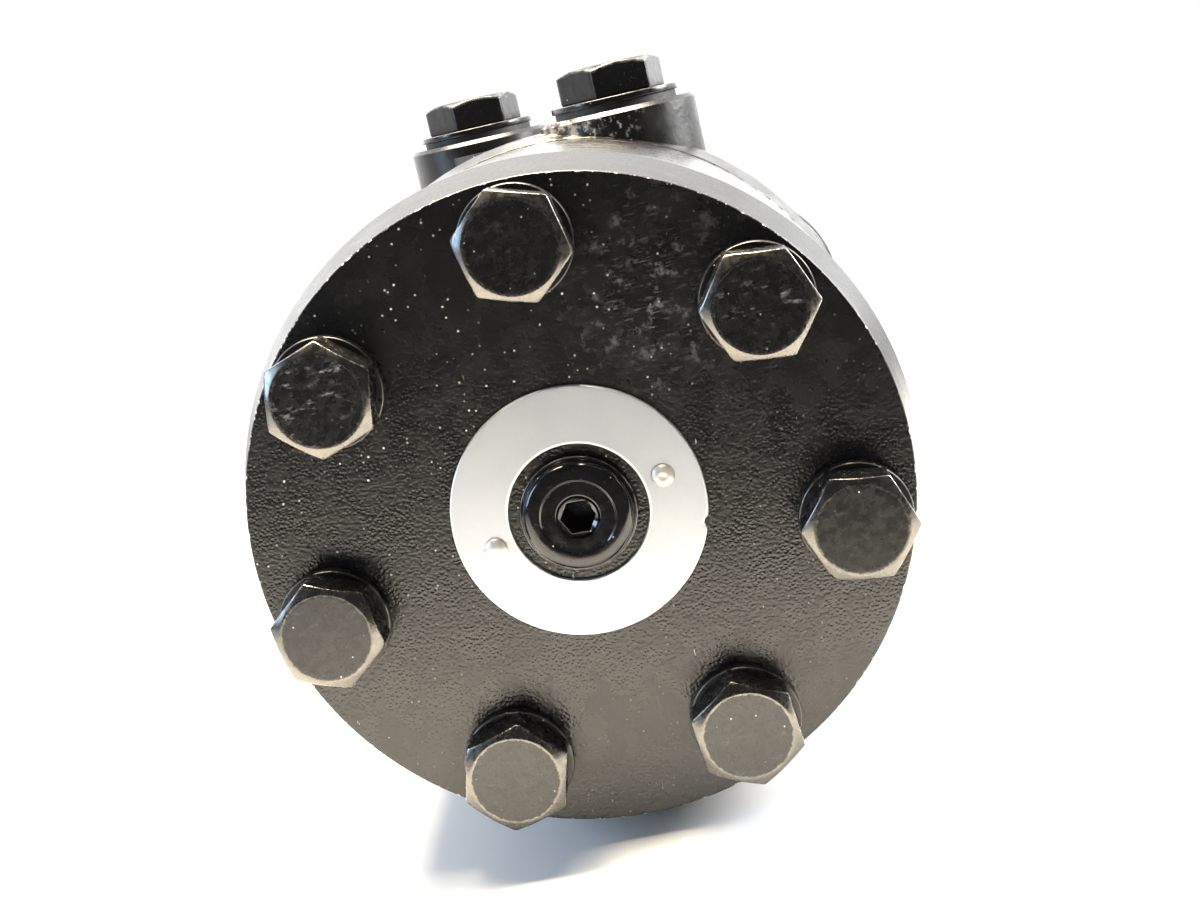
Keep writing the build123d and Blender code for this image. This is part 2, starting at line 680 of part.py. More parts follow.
finish(needle_cup(FRONT_CUP_AT, SHAFT_JOURNAL_R, CUP_R_FRONT), "front_needle_cup")
finish(needle_row(FRONT_CUP_AT, SHAFT_JOURNAL_R, FRONT_NEEDLES), "front_needles")
finish(needle_cage(FRONT_CUP_AT, SHAFT_JOURNAL_R, FRONT_NEEDLES), "front_needle_cage")
finish(needle_cup(REAR_CUP_AT, SHAFT_BODY_R, CUP_R_REAR), "rear_needle_cup")
finish(needle_row(REAR_CUP_AT, SHAFT_BODY_R, REAR_NEEDLES), "rear_needles")
finish(needle_cage(REAR_CUP_AT, SHAFT_BODY_R, REAR_NEEDLES), "rear_needle_cage")

THRUST_OUTER_R = CAVITY_R - THRUST_GAP
THRUST_PITCH_R = (THRUST_INNER_R + THRUST_OUTER_R) / 2

with BuildPart() as thrust_washer:
    with BuildSketch(station(CAVITY_AT)):
        Circle(THRUST_OUTER_R)
        Circle(THRUST_INNER_R, mode=Mode.SUBTRACT)
    extrude(amount=THRUST_WASHER_WIDTH)
finish(thrust_washer, "thrust_washer")


def thrust_ring(needle_r, length):
    """Rollers that lie like spokes at the middle of the thrust bearing."""
    inner_r = THRUST_PITCH_R - length / 2
    with BuildPart() as spokes:
        for number in range(THRUST_NEEDLES):
            hub = station(THRUST_AT + THRUST_NEEDLE_R, number * 360 / THRUST_NEEDLES)
            inner_end = hub.origin + hub.x_dir * inner_r
            with BuildSketch(Plane(origin=inner_end, x_dir=hub.y_dir, z_dir=hub.x_dir)):
                Circle(needle_r)
            extrude(amount=length)
    return spokes


finish(thrust_ring(THRUST_NEEDLE_R, THRUST_NEEDLE_LENGTH), "thrust_needles")

with BuildPart() as thrust_cage:
    with BuildSketch(station(THRUST_AT + THRUST_GAP)):
        Circle(THRUST_OUTER_R - THRUST_GAP)
        Circle(THRUST_INNER_R + THRUST_GAP, mode=Mode.SUBTRACT)
    extrude(amount=2 * (THRUST_NEEDLE_R - THRUST_GAP))
    windows = thrust_ring(
        THRUST_NEEDLE_R + THRUST_WINDOW_SIDE_GAP,
        THRUST_NEEDLE_LENGTH + 2 * THRUST_WINDOW_GAP,
    )
    add(windows.part, mode=Mode.SUBTRACT)
finish(thrust_cage, "thrust_cage")


# ---- Shaft seals ------------------------------------------------------------------------

with BuildPart() as seal_backup_washer:
    with BuildSketch(station(SEAL_BORE_END_AT - SEAL_WASHER_THICKNESS)):
        Circle(SEAL_BORE_R - FIT_CLEARANCE)
        Circle(SHAFT_JOURNAL_R + SEAL_WASHER_BORE_GAP, mode=Mode.SUBTRACT)
    extrude(amount=SEAL_WASHER_THICKNESS)
finish(seal_backup_washer, "seal_backup_washer")

with BuildPart() as shaft_seal:
    revolve(turned(SHAFT_SEAL_OUTLINE), axis=Axis.Y)
finish(shaft_seal, "shaft_seal")

with BuildPart() as dust_seal:
    revolve(turned(DUST_SEAL_OUTLINE), axis=Axis.Y)
finish(dust_seal, "dust_seal")


# ---- Housing ----------------------------------------------------------------------------


def port_locations():
    """Both ports on a plane that faces +Z."""
    return Locations(*[(x, -at) for x, at in (PORT_A, PORT_B)])


def flange_back_edges(blank):
    """The edges of the flange's rear face, the circle round the neck last."""
    edges = blank.edges()
    on_face = edges.filter_by(lambda edge: abs(edge.center().Y + FLANGE_THICKNESS) < 0.1)
    return on_face.sort_by(SortBy.LENGTH)


with BuildPart() as housing:
    # Turned outside of the casting, with cast radii where the sections change
    rim_front = HOUSING_LENGTH - REAR_RIM_LENGTH
    with BuildSketch(Plane.XY):
        with BuildLine():
            FilletPolyline(
                (0, -NECK_START_AT),
                (NECK_R, -NECK_START_AT),
                (NECK_R, -NECK_END_AT),
                (BODY_R, -(NECK_END_AT + BODY_SLOPE)),
                (BODY_R, -(rim_front - RIM_SLOPE)),
                (REAR_RIM_R, -rim_front),
                (REAR_RIM_R, -(HOUSING_LENGTH - REAR_TAPER)),
                (REAR_FACE_R, -HOUSING_LENGTH),
                (0, -HOUSING_LENGTH),
                radius=CAST_RADII,
                close=False,
            )
            Line((0, -HOUSING_LENGTH), (0, -NECK_START_AT))
        make_face()
    revolve(axis=Axis.Y)
    # Flange
    with BuildSketch(station(0)):
        Circle(FLANGE_CENTRE_R)
        with Locations((EAR_X, 0), (-EAR_X, 0)):
            Circle(EAR_R)
        make_hull()
    extrude(amount=FLANGE_THICKNESS)
    # Machined front edge, cast back edge and a cast root where the flange meets the neck
    chamfer(housing.edges().group_by(Axis.Y)[-1], FLANGE_FRONT_CHAMFER)
    neck_root = flange_back_edges(housing)[-1]
    fillet(neck_root, FLANGE_NECK_RADIUS)
    outer_edges = flange_back_edges(housing)[:-1]
    fillet(outer_edges, FLANGE_CAST_RADIUS)
    # Two round port bosses joined by a lower web
    with BuildSketch(Plane.XY.offset(PORT_BOSS_BASE_Z)):
        with port_locations():
            Circle(PORT_WEB_R)
        make_hull()
    extrude(amount=PORT_FACE_Z - PORT_WEB_DROP - PORT_BOSS_BASE_Z)
    with BuildSketch(Plane.XY.offset(PORT_BOSS_BASE_Z)):
        with port_locations():
            Circle(PORT_BOSS_R)
    extrude(amount=PORT_FACE_Z - PORT_FACE_CHAMFER - PORT_BOSS_BASE_Z)
    with port_locations():
        chamfer_base = (0, 0, PORT_FACE_Z - PORT_FACE_CHAMFER)
        with Locations(chamfer_base):
            Cone(
                PORT_BOSS_R,
                PORT_BOSS_R - PORT_FACE_CHAMFER,
                PORT_FACE_CHAMFER,
                align=(Align.CENTER, Align.CENTER, Align.MIN),
            )
    # Pilot
    with BuildSketch(station(0)):
        Circle(PILOT_R)
    extrude(amount=-PILOT_LENGTH)
    # Bores, from the pilot to the rear face
    bore = [
        (0, -PILOT_LENGTH),
        (SEAL_BORE_R, -PILOT_LENGTH),
        (SEAL_BORE_R, SEAL_BORE_END_AT),
        (SHAFT_JOURNAL_R + CUP_LIP_GAP, SEAL_BORE_END_AT),
        (SHAFT_JOURNAL_R + CUP_LIP_GAP, FRONT_CUP_AT),
        (CUP_R_FRONT, FRONT_CUP_AT),
        (CUP_R_FRONT, CAVITY_AT),
        (CAVITY_R, CAVITY_AT),
        (CAVITY_R, HOUSING_LENGTH),
        (0, HOUSING_LENGTH),
    ]
    revolve(turned(bore), axis=Axis.Y, mode=Mode.SUBTRACT)
    groove_front = HOUSING_LENGTH - BODY_SEAL_GROOVE[1]
    revolve(seal_groove(groove_front), axis=Axis.Y, mode=Mode.SUBTRACT)
    with BuildSketch(station(HOUSING_LENGTH)):
        with bolt_ring():
            Circle(BOLT_TAPPED_R)
    extrude(amount=-BOLT_TAPPED_DEPTH, mode=Mode.SUBTRACT)
    # Mounting holes
    with BuildSketch(station(0)):
        with Locations((MOUNT_HOLE_SPACING / 2, 0), (-MOUNT_HOLE_SPACING / 2, 0)):
            Circle(MOUNT_HOLE_R)
    extrude(amount=FLANGE_THICKNESS, mode=Mode.SUBTRACT)
    # Ports: a tapped hole, then a smaller drilling into the cavity
    with BuildSketch(Plane.XY.offset(PORT_FACE_Z)):
        with port_locations():
            Circle(PORT_TAPPED_R)
    extrude(amount=-PORT_TAPPED_DEPTH, mode=Mode.SUBTRACT)
    with BuildSketch(Plane.XY.offset(PORT_FACE_Z)):
        with port_locations():
            Circle(PORT_DRILL_R)
    extrude(amount=PORT_DRILL_BOTTOM_Z - PORT_FACE_Z, mode=Mode.SUBTRACT)
finish(housing, "housing")


# ---- Fasteners, plugs and nameplate -----------------------------------------------------
# These are drawn along +Z, with z as the station, and set on the rear of the motor.


def hexagon_envelope(base, height, top_r):
    """The outline that turns the corners off a hexagon's top at 30 degrees."""
    wide = 2 * top_r
    drop = (wide - top_r) * tan(radians(30))
    with BuildSketch(Plane.XZ) as outline:
        with BuildLine():
            Polyline(
                (0, base),
                (wide, base),
                (wide, base + height - drop),
                (top_r, base + height),
                (0, base + height),
                close=True,
            )
        make_face()
    return outline.sketch


with BuildPart() as bolt:
    head_base = COVER_FACE_AT + WASHER_THICKNESS
    with BuildSketch(Plane.XY.offset(head_base)):
        RegularPolygon(HEAD_ACROSS_FLATS / 2, 6, major_radius=False)
    extrude(amount=HEAD_HEIGHT)
    envelope = hexagon_envelope(head_base, HEAD_HEIGHT, HEAD_TOP_R)
    revolve(envelope, axis=Axis.Z, mode=Mode.INTERSECT)
    with BuildSketch(Plane.XY.offset(HOUSING_LENGTH)):
        Circle(BOLT_R)
    extrude(amount=head_base - HOUSING_LENGTH)
    with BuildSketch(Plane.XY.offset(HOUSING_LENGTH - BOLT_ENGAGEMENT)):
        Circle(BOLT_CORE_R)
    extrude(amount=BOLT_ENGAGEMENT)

with BuildPart() as washer:
    with BuildSketch(Plane.XY.offset(COVER_FACE_AT)):
        Circle(WASHER_R)
        Circle(BOLT_HOLE_R, mode=Mode.SUBTRACT)
    extrude(amount=WASHER_THICKNESS)
    rims = washer.edges().filter_by(GeomType.CIRCLE)
    washer_rims = rims.filter_by(lambda edge: edge.radius > WASHER_R - 1)
    chamfer(washer_rims.sort_by(Axis.Z)[-1], PLATE_CHAMFER)

with BuildPart(Plane.XZ) as cover_bolts:
    for number, turn in enumerate(HEAD_TURNS):
        angle = radians(BOLT_FIRST_ANGLE + number * 360 / BOLT_COUNT)
        place = (BOLT_RING_R * cos(angle), BOLT_RING_R * sin(angle), 0)
        with Locations(Location(place, (0, 0, turn))):
            add(bolt.part)
finish(cover_bolts, "cover_bolts")

with BuildPart(Plane.XZ) as bolt_washers:
    with bolt_ring():
        add(washer.part)
finish(bolt_washers, "bolt_washers")

with BuildPart() as nameplate:
    with BuildSketch(station(COVER_FACE_AT)):
        Circle(PLATE_R[1])
        Circle(PLATE_R[0], mode=Mode.SUBTRACT)
        with PolarLocations(RIVET_RING_R, 2, RIVET_ANGLE):
            Circle(RIVET_R + FIT_CLEARANCE, mode=Mode.SUBTRACT)
    extrude(amount=PLATE_THICKNESS)
finish(nameplate, "nameplate")

with BuildPart() as rivet:
    rivet_base = COVER_FACE_AT + PLATE_THICKNESS
    rivet_top = rivet_base + RIVET_HEAD_HEIGHT
    cap_height = RIVET_HEAD_HEIGHT - RIVET_EDGE
    cap_r = (RIVET_HEAD_R**2 + cap_height**2) / (2 * cap_height)
    halfway = asin(RIVET_HEAD_R / cap_r) / 2
    with BuildSketch(Plane.XZ):
        with BuildLine():
            Polyline(
                (0, rivet_top),
                (0, rivet_base),
                (RIVET_HEAD_R, rivet_base),
                (RIVET_HEAD_R, rivet_base + RIVET_EDGE),
            )
            ThreePointArc(
                (RIVET_HEAD_R, rivet_base + RIVET_EDGE),
                (cap_r * sin(halfway), rivet_top - cap_r * (1 - cos(halfway))),
                (0, rivet_top),
            )
        make_face()
    revolve(axis=Axis.Z)
    with BuildSketch(Plane.XY.offset(rivet_base)):
        Circle(RIVET_R)
    extrude(amount=-(PLATE_THICKNESS + RIVET_SHANK))

with BuildPart(Plane.XZ) as nameplate_rivets:
    with PolarLocations(RIVET_RING_R, 2, RIVET_ANGLE):
        add(rivet.part)
finish(nameplate_rivets, "nameplate_rivets")

with BuildPart() as drain_plug:
    thread_end = COVER_FACE_AT - DRAIN_THREAD_LENGTH
    collar_top = COVER_FACE_AT + DRAIN_COLLAR_HEIGHT
    top = COVER_FACE_AT + DRAIN_HEIGHT
    shoulder = top - DRAIN_EDGE_RADIUS
    crown_r = DRAIN_DOME_R - DRAIN_EDGE_RADIUS
    mouth = top - DRAIN_DISH_DEPTH
    with BuildSketch(Plane.XY):
        with BuildLine():
            Polyline(
                (0, -thread_end),
                (DRAIN_THREAD_R, -thread_end),
                (DRAIN_THREAD_R, -COVER_FACE_AT),
                (DRAIN_COLLAR_R, -COVER_FACE_AT),
                (DRAIN_COLLAR_R, -(collar_top - DRAIN_COLLAR_CHAMFER)),
                (DRAIN_COLLAR_R - DRAIN_COLLAR_CHAMFER, -collar_top),
                (DRAIN_DOME_R, -collar_top),
                (DRAIN_DOME_R, -shoulder),
            )
            RadiusArc((DRAIN_DOME_R, -shoulder), (crown_r, -top), DRAIN_EDGE_RADIUS)
            Polyline(
                (crown_r, -top),
                (DRAIN_DISH_R + DRAIN_DISH_SLOPE, -top),
                (DRAIN_DISH_R, -mouth),
                (0, -mouth),
                (0, -thread_end),
            )
        make_face()
    revolve(axis=Axis.Y)
    with BuildSketch(station(top)):
        RegularPolygon(
            DRAIN_SOCKET_AF / 2, 6, major_radius=False, rotation=DRAIN_SOCKET_TURN
        )
    extrude(amount=-(DRAIN_DISH_DEPTH + DRAIN_SOCKET_DEPTH), mode=Mode.SUBTRACT)
    # Countersink at the mouth of the socket
    top_r, mouth_r, bottom_r = DRAIN_COUNTERSINK_R
    sink_end = mouth - DRAIN_COUNTERSINK_DEPTH
    sink = [(0, top), (top_r, top), (mouth_r, mouth), (bottom_r, sink_end), (0, sink_end)]
    revolve(turned(sink), axis=Axis.Y, mode=Mode.SUBTRACT)
finish(drain_plug, "drain_plug")

with BuildPart() as drain_plug_seal:
    seal_ring_r = (DRAIN_THREAD_R + DRAIN_SEAT[0]) / 2
    with BuildSketch(Plane.XY):
        with Locations((seal_ring_r, -(COVER_FACE_AT - DRAIN_SEAL_DEPTH))):
            Circle(DRAIN_SEAL_SECTION_R)
    revolve(axis=Axis.Y)
finish(drain_plug_seal, "drain_plug_seal")


def port_plug(port):
    """A hexagon plug with a collar, screwed into a port."""
    x, at = port
    collar_base = PORT_FACE_Z + PORT_SEAL_THICKNESS
    hex_base = collar_base + PORT_PLUG_COLLAR
    with BuildPart() as blank:
        with BuildSketch(Plane.XY.offset(hex_base)):
            RegularPolygon(PORT_PLUG_AF / 2, 6, major_radius=False, rotation=PORT_PLUG_TURN)
        extrude(amount=PORT_PLUG_HEX)
        envelope = hexagon_envelope(hex_base, PORT_PLUG_HEX, PORT_PLUG_TOP_R)
        revolve(envelope, axis=Axis.Z, mode=Mode.INTERSECT)
        with BuildSketch(Plane.XY.offset(collar_base)):
            Circle(PORT_PLUG_COLLAR_R)
        extrude(amount=PORT_PLUG_COLLAR)
        rims = blank.edges().filter_by(GeomType.CIRCLE)
        collar_rims = rims.filter_by(lambda edge: edge.radius > PORT_PLUG_COLLAR_R - 1)
        chamfer(collar_rims, PORT_PLUG_CHAMFER)
        with BuildSketch(Plane.XY.offset(collar_base)):
            Circle(PORT_PLUG_THREAD_R)
        extrude(amount=-(PORT_SEAL_THICKNESS + PORT_PLUG_THREAD))
    with BuildPart() as plug:
        with Locations((x, -at)):
            add(blank.part)
    return plug


finish(port_plug(PORT_A), "port_plug_a")
finish(port_plug(PORT_B), "port_plug_b")

with BuildPart() as port_plug_seals:
    with BuildSketch(Plane.XY.offset(PORT_FACE_Z)):
        with port_locations():
            Circle(PORT_SEAL_R[1])
            Circle(PORT_SEAL_R[0], mode=Mode.SUBTRACT)
    extrude(amount=PORT_SEAL_THICKNESS)
finish(port_plug_seals, "port_plug_seals")
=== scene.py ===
import json
from math import cos, exp, hypot, pi, radians, sin, tan

import bmesh
import bpy
from mathutils import Matrix, Vector, noise


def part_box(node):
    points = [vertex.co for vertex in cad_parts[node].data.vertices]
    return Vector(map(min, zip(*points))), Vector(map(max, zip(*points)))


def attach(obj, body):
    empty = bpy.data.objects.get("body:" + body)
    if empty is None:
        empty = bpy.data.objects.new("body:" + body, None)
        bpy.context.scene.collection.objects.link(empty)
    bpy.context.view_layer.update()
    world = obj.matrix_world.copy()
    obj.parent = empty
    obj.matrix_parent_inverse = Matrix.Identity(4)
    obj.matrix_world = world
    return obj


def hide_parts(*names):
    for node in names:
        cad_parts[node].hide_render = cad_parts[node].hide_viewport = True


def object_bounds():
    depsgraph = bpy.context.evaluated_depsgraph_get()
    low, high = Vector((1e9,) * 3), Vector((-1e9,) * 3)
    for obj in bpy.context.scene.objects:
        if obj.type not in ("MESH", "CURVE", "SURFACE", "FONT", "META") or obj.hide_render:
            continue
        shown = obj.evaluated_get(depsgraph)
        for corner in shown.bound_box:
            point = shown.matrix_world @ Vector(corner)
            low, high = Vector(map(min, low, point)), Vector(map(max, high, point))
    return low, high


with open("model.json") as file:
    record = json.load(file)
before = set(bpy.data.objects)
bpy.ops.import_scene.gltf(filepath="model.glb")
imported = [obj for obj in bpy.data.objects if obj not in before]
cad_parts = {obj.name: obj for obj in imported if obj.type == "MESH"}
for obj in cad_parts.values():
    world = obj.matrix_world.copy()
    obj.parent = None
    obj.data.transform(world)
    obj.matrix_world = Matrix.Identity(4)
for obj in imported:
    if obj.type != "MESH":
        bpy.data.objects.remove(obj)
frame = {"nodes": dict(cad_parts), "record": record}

# The looks of an orbital hydraulic motor. The end cover faces -Y, the output shaft points
# along +Y and the two ports open towards +Z. Lengths named MM are in millimetres.

MM = 0.001
cad_low, cad_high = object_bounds()


# ---- Camera -----------------------------------------------------------------------------

CAMERA_AT = Vector((25.1, -448.05, 61.2)) * MM
CAMERA_AZIMUTH = radians(4.85)
CAMERA_ELEVATION = radians(12.63)
CAMERA_ROLL = radians(-12.96)
CAMERA_LENS = 45.825
CAMERA_SENSOR = 36.0


def make_camera():
    """A camera in front of the end cover, a little above it and tilted about its own axis."""
    back = Vector(
        (
            sin(CAMERA_AZIMUTH) * cos(CAMERA_ELEVATION),
            -cos(CAMERA_AZIMUTH) * cos(CAMERA_ELEVATION),
            sin(CAMERA_ELEVATION),
        )
    )
    level = Vector((cos(CAMERA_AZIMUTH), sin(CAMERA_AZIMUTH), 0))
    upright = back.cross(level)
    right = level * cos(CAMERA_ROLL) + upright * sin(CAMERA_ROLL)
    up = back.cross(right)
    data = bpy.data.cameras.new("camera")
    data.lens = CAMERA_LENS
    data.sensor_width = CAMERA_SENSOR
    data.clip_start = 0.01
    camera = bpy.data.objects.new("camera", data)
    turn = Matrix((right, up, back)).transposed().to_4x4()
    camera.matrix_world = Matrix.Translation(CAMERA_AT) @ turn
    bpy.context.scene.collection.objects.link(camera)
    bpy.context.scene.camera = camera


make_camera()


# ---- Procedural materials ---------------------------------------------------------------

# At a scale of 1 the bands of a wave texture are this far apart
WAVE_PITCH = 0.314
WAVINESS = 0.6


class Recipe:
    """A principled material whose colour, roughness and relief are worked out by nodes from
    the place on the object, in metres."""

    def __init__(self, name, colour, roughness, metallic=0.0):
        self.material = bpy.data.materials.new(name)
        self.material.use_nodes = True
        self.tree = self.material.node_tree
        self.shader = self.tree.nodes["Principled BSDF"]
        self.shader.inputs["Base Color"].default_value = (*colour, 1)
        self.shader.inputs["Roughness"].default_value = roughness
        self.shader.inputs["Metallic"].default_value = metallic
        self.place = self.tree.nodes.new("ShaderNodeTexCoord").outputs["Object"]
        self.reliefs = []

    def feed(self, socket, value):
        """Links a node output to a socket, or sets the socket to a plain value."""
        if isinstance(value, bpy.types.NodeSocket):
            self.tree.links.new(value, socket)
        elif isinstance(value, tuple) and len(value) == 3 and socket.type == "RGBA":
            socket.default_value = (*value, 1)
        else:
            socket.default_value = value

    def warp(self, scale=(1, 1, 1), turn=(0, 0, 0)):
        """The place, turned and stretched."""
        node = self.tree.nodes.new("ShaderNodeMapping")
        node.inputs["Rotation"].default_value = turn
        node.inputs["Scale"].default_value = scale
        self.tree.links.new(self.place, node.inputs["Vector"])
        return node.outputs["Vector"]

    def grain(self, size_mm, detail=3, rough=0.55, place=None):
        """Noise from 0 to 1 with features of about that size."""
        node = self.tree.nodes.new("ShaderNodeTexNoise")
        node.inputs["Scale"].default_value = 1 / (size_mm * MM)
        node.inputs["Detail"].default_value = detail
        node.inputs["Roughness"].default_value = rough
        self.tree.links.new(place or self.place, node.inputs["Vector"])
        return node.outputs["Fac"]

    def cells(self, size_mm, place=None):
        """Distance to the nearest point of a scatter, and a random colour for that point."""
        node = self.tree.nodes.new("ShaderNodeTexVoronoi")
        node.inputs["Scale"].default_value = 1 / (size_mm * MM)
        self.tree.links.new(place or self.place, node.inputs["Vector"])
        return node.outputs["Distance"], node.outputs["Color"]

    def span(self, value, low, high, to_low=0.0, to_high=1.0):
        """The value taken smoothly from one range to another, and held at its ends."""
        node = self.tree.nodes.new("ShaderNodeMapRange")
        node.interpolation_type = "SMOOTHSTEP"
        for name, number in (
            ("From Min", low),
            ("From Max", high),
            ("To Min", to_low),
            ("To Max", to_high),
        ):
            node.inputs[name].default_value = number
        self.feed(node.inputs["Value"], value)
        return node.outputs["Result"]

    def sum(self, operation, first, second):
        """Two values put together by a named sum, such as MULTIPLY or MAXIMUM."""
        node = self.tree.nodes.new("ShaderNodeMath")
        node.operation = operation
        self.feed(node.inputs[0], first)
        self.feed(node.inputs[1], second)
        return node.outputs[0]

    def tint(self, mask, plain, marked):
        """One colour turning into another where the mask is 1."""
        node = self.tree.nodes.new("ShaderNodeMix")
        node.data_type = "RGBA"
        self.feed(node.inputs["Factor"], mask)
        self.feed(node.inputs["A"], plain)
        self.feed(node.inputs["B"], marked)
        return node.outputs["Result"]

    def near(self, centre_mm, reach_mm):
        """A mask that is 1 at a point and fades to 0 at that distance from it."""
        node = self.tree.nodes.new("ShaderNodeVectorMath")
        node.operation = "DISTANCE"
        self.tree.links.new(self.place, node.inputs[0])
        node.inputs[1].default_value = Vector(centre_mm) * MM
        return self.span(node.outputs["Value"], reach_mm * MM, 0.0)

    def from_axis(self, low_mm, high_mm):
        """A mask that goes from 0 to 1 between two distances from the Y axis."""
        flat = self.warp((1, 0, 1))
        node = self.tree.nodes.new("ShaderNodeVectorMath")
        node.operation = "LENGTH"
        self.tree.links.new(flat, node.inputs[0])
        return self.span(node.outputs["Value"], low_mm * MM, high_mm * MM)

    def painted(self, name):
        """A value stored on the points of the mesh."""
        node = self.tree.nodes.new("ShaderNodeAttribute")
        node.attribute_name = name
        return node.outputs["Fac"]

    def specks(self, cell_mm, size, share):
        """Small dots, one in a share of the cells."""
        distance, colour = self.cells(cell_mm)
        split = self.tree.nodes.new("ShaderNodeSeparateColor")
        self.tree.links.new(colour, split.inputs[0])
        chosen = self.span(split.outputs[0], 1 - share, 1 - share * 0.9)
        return self.sum("MULTIPLY", self.span(distance, size, size * 0.5), chosen)

    def rings(self, pitch_mm):
        """Fine lathe lines that run round the Y axis."""
        node = self.tree.nodes.new("ShaderNodeTexWave")
        node.wave_type = "BANDS"
        node.bands_direction = "Y"
        node.inputs["Scale"].default_value = WAVE_PITCH / (pitch_mm * MM)
        node.inputs["Distortion"].default_value = WAVINESS
        node.inputs["Detail"].default_value = 2
        self.tree.links.new(self.place, node.inputs["Vector"])
        return node.outputs["Fac"]

    def relief(self, height, depth_mm):
        """Adds one layer of bumps, each laid over the one before."""
        node = self.tree.nodes.new("ShaderNodeBump")
        node.inputs["Distance"].default_value = depth_mm * MM
        self.feed(node.inputs["Height"], height)
        if self.reliefs:
            self.tree.links.new(self.reliefs[-1].outputs["Normal"], node.inputs["Normal"])
        self.reliefs.append(node)
        self.tree.links.new(node.outputs["Normal"], self.shader.inputs["Normal"])

    def colour(self, value):
        """Feeds the base colour."""
        self.feed(self.shader.inputs["Base Color"], value)

    def roughness(self, value):
        """Feeds the roughness."""
        self.feed(self.shader.inputs["Roughness"], value)

    def metal(self, value):
        """Feeds the share of bare metal."""
        self.feed(self.shader.inputs["Metallic"], value)


BLACK = (0.0038, 0.0038, 0.0041)
SOFT_BLACK = (0.0062, 0.006, 0.0058)
DUST = (0.74, 0.72, 0.66)
# Bare metal of the chips on the cover's face edge, and also the colour of the highlight line
# painted along that edge
CHIP_AND_EDGE_HIGHLIGHT = (0.55, 0.53, 0.50)
SCUFF = (0.42, 0.42, 0.42)

# Marked places, in millimetres: the upper left of the cover, the scuffed part at its upper
# right, the sealant on the rear rim and the flakes round the near port
DUSTY_AT = (-30, -216, 45)
SCUFFED_AT = (19, -216, 32)
SEALANT_AT = (4, -144, 57)
FLAKES_AT = (15, -146, 58.4)
# The cover's face ends and its rim begins between these distances from the axis
RIM_FROM_MM, RIM_TO_MM = 52.9, 53.4
LEATHER_MM = 0.55


def wrinkle_paint():
    """Semi-gloss black with a leathery grain, dust specks and light scuffs on the cover, chipped
    paint along the edge of its face that also paints a highlight line there, and fine lathe lines
    round its rim."""
    r = Recipe("wrinkle_black", BLACK, 0.32)
    rim = r.from_axis(RIM_FROM_MM, RIM_TO_MM)
    face = r.sum("SUBTRACT", 1.0, rim)
    wear = r.painted("wear")
    ragged = r.span(r.grain(1.3, 5, 0.75), 0.3, 0.7, -0.55, 0.35)
    # Chipped paint along the edge of the face, where the mesh marks it worn; this is partly a
    # painted highlight line along that edge
    chips = r.span(r.sum("ADD", wear, ragged), 0.90, 1.02)
    base = r.tint(r.grain(9, 3), BLACK, SOFT_BLACK)
    dots = r.specks(1.3, 0.17, 0.5)
    upper = r.near(DUSTY_AT, 75)
    dots = r.sum("MULTIPLY", dots, r.span(r.grain(12, 2), 0.40, 0.56))
    dots = r.sum("MULTIPLY", dots, r.span(upper, 0.05, 0.5, 0.15, 1.0))
    hairs = r.span(r.grain(1.5, 2, 0.5, r.warp((3.5, 1, 0.5), (0, 0.5, 0))), 0.72, 0.77)
    hairs = r.sum("MULTIPLY", hairs, r.span(r.grain(9, 2), 0.50, 0.60))
    streak_place = r.warp((1, 1, 4.5), (0, radians(48), 0))
    streaks = r.span(r.grain(2.6, 6, 0.75, streak_place), 0.52, 0.72)
    blots = r.span(r.grain(3.0, 5, 0.7), 0.54, 0.66)
    scuffs = r.sum("MAXIMUM", streaks, blots)
    scuffs = r.sum("MULTIPLY", scuffs, r.near(SCUFFED_AT, 21))
    scuffs = r.sum("MULTIPLY", scuffs, 0.32)
    marked = r.tint(scuffs, base, SCUFF)
    dust = r.sum("MAXIMUM", dots, r.sum("MULTIPLY", hairs, 0.7))
    marked = r.tint(r.sum("MULTIPLY", dust, face), marked, DUST)
    # The chip colour also lays a painted highlight along the face's edge
    r.colour(r.tint(chips, marked, CHIP_AND_EDGE_HIGHLIGHT))
    r.roughness(r.span(r.grain(5, 4), 0.3, 0.7, 0.23, 0.31))
    r.relief(r.sum("MULTIPLY", r.grain(1.3, 2, 0.5), face), 0.025)
    leather = r.span(r.cells(LEATHER_MM)[0], 0.0, 0.8)
    r.relief(r.sum("MULTIPLY", leather, face), 0.032)
    r.relief(r.sum("MULTIPLY", r.rings(0.42), rim), 0.012)
    r.relief(r.sum("MULTIPLY", r.grain(2.5, 4), rim), 0.03)
    return r.material


def turned_paint():
    """Gloss black over turned steel, with the lathe lines showing through."""
    r = Recipe("stack_paint", BLACK, 0.22)
    lines = r.rings(0.5)
    base = r.tint(r.grain(6, 4), BLACK, SOFT_BLACK)
    chips = r.specks(2.6, 0.11, 0.12)
    r.colour(r.tint(chips, base, (0.30, 0.27, 0.23)))
    r.roughness(r.span(r.grain(3, 4), 0.3, 0.7, 0.22, 0.30))
    r.relief(lines, 0.006)
    r.relief(r.grain(2.6, 2), 0.01)
    return r.material


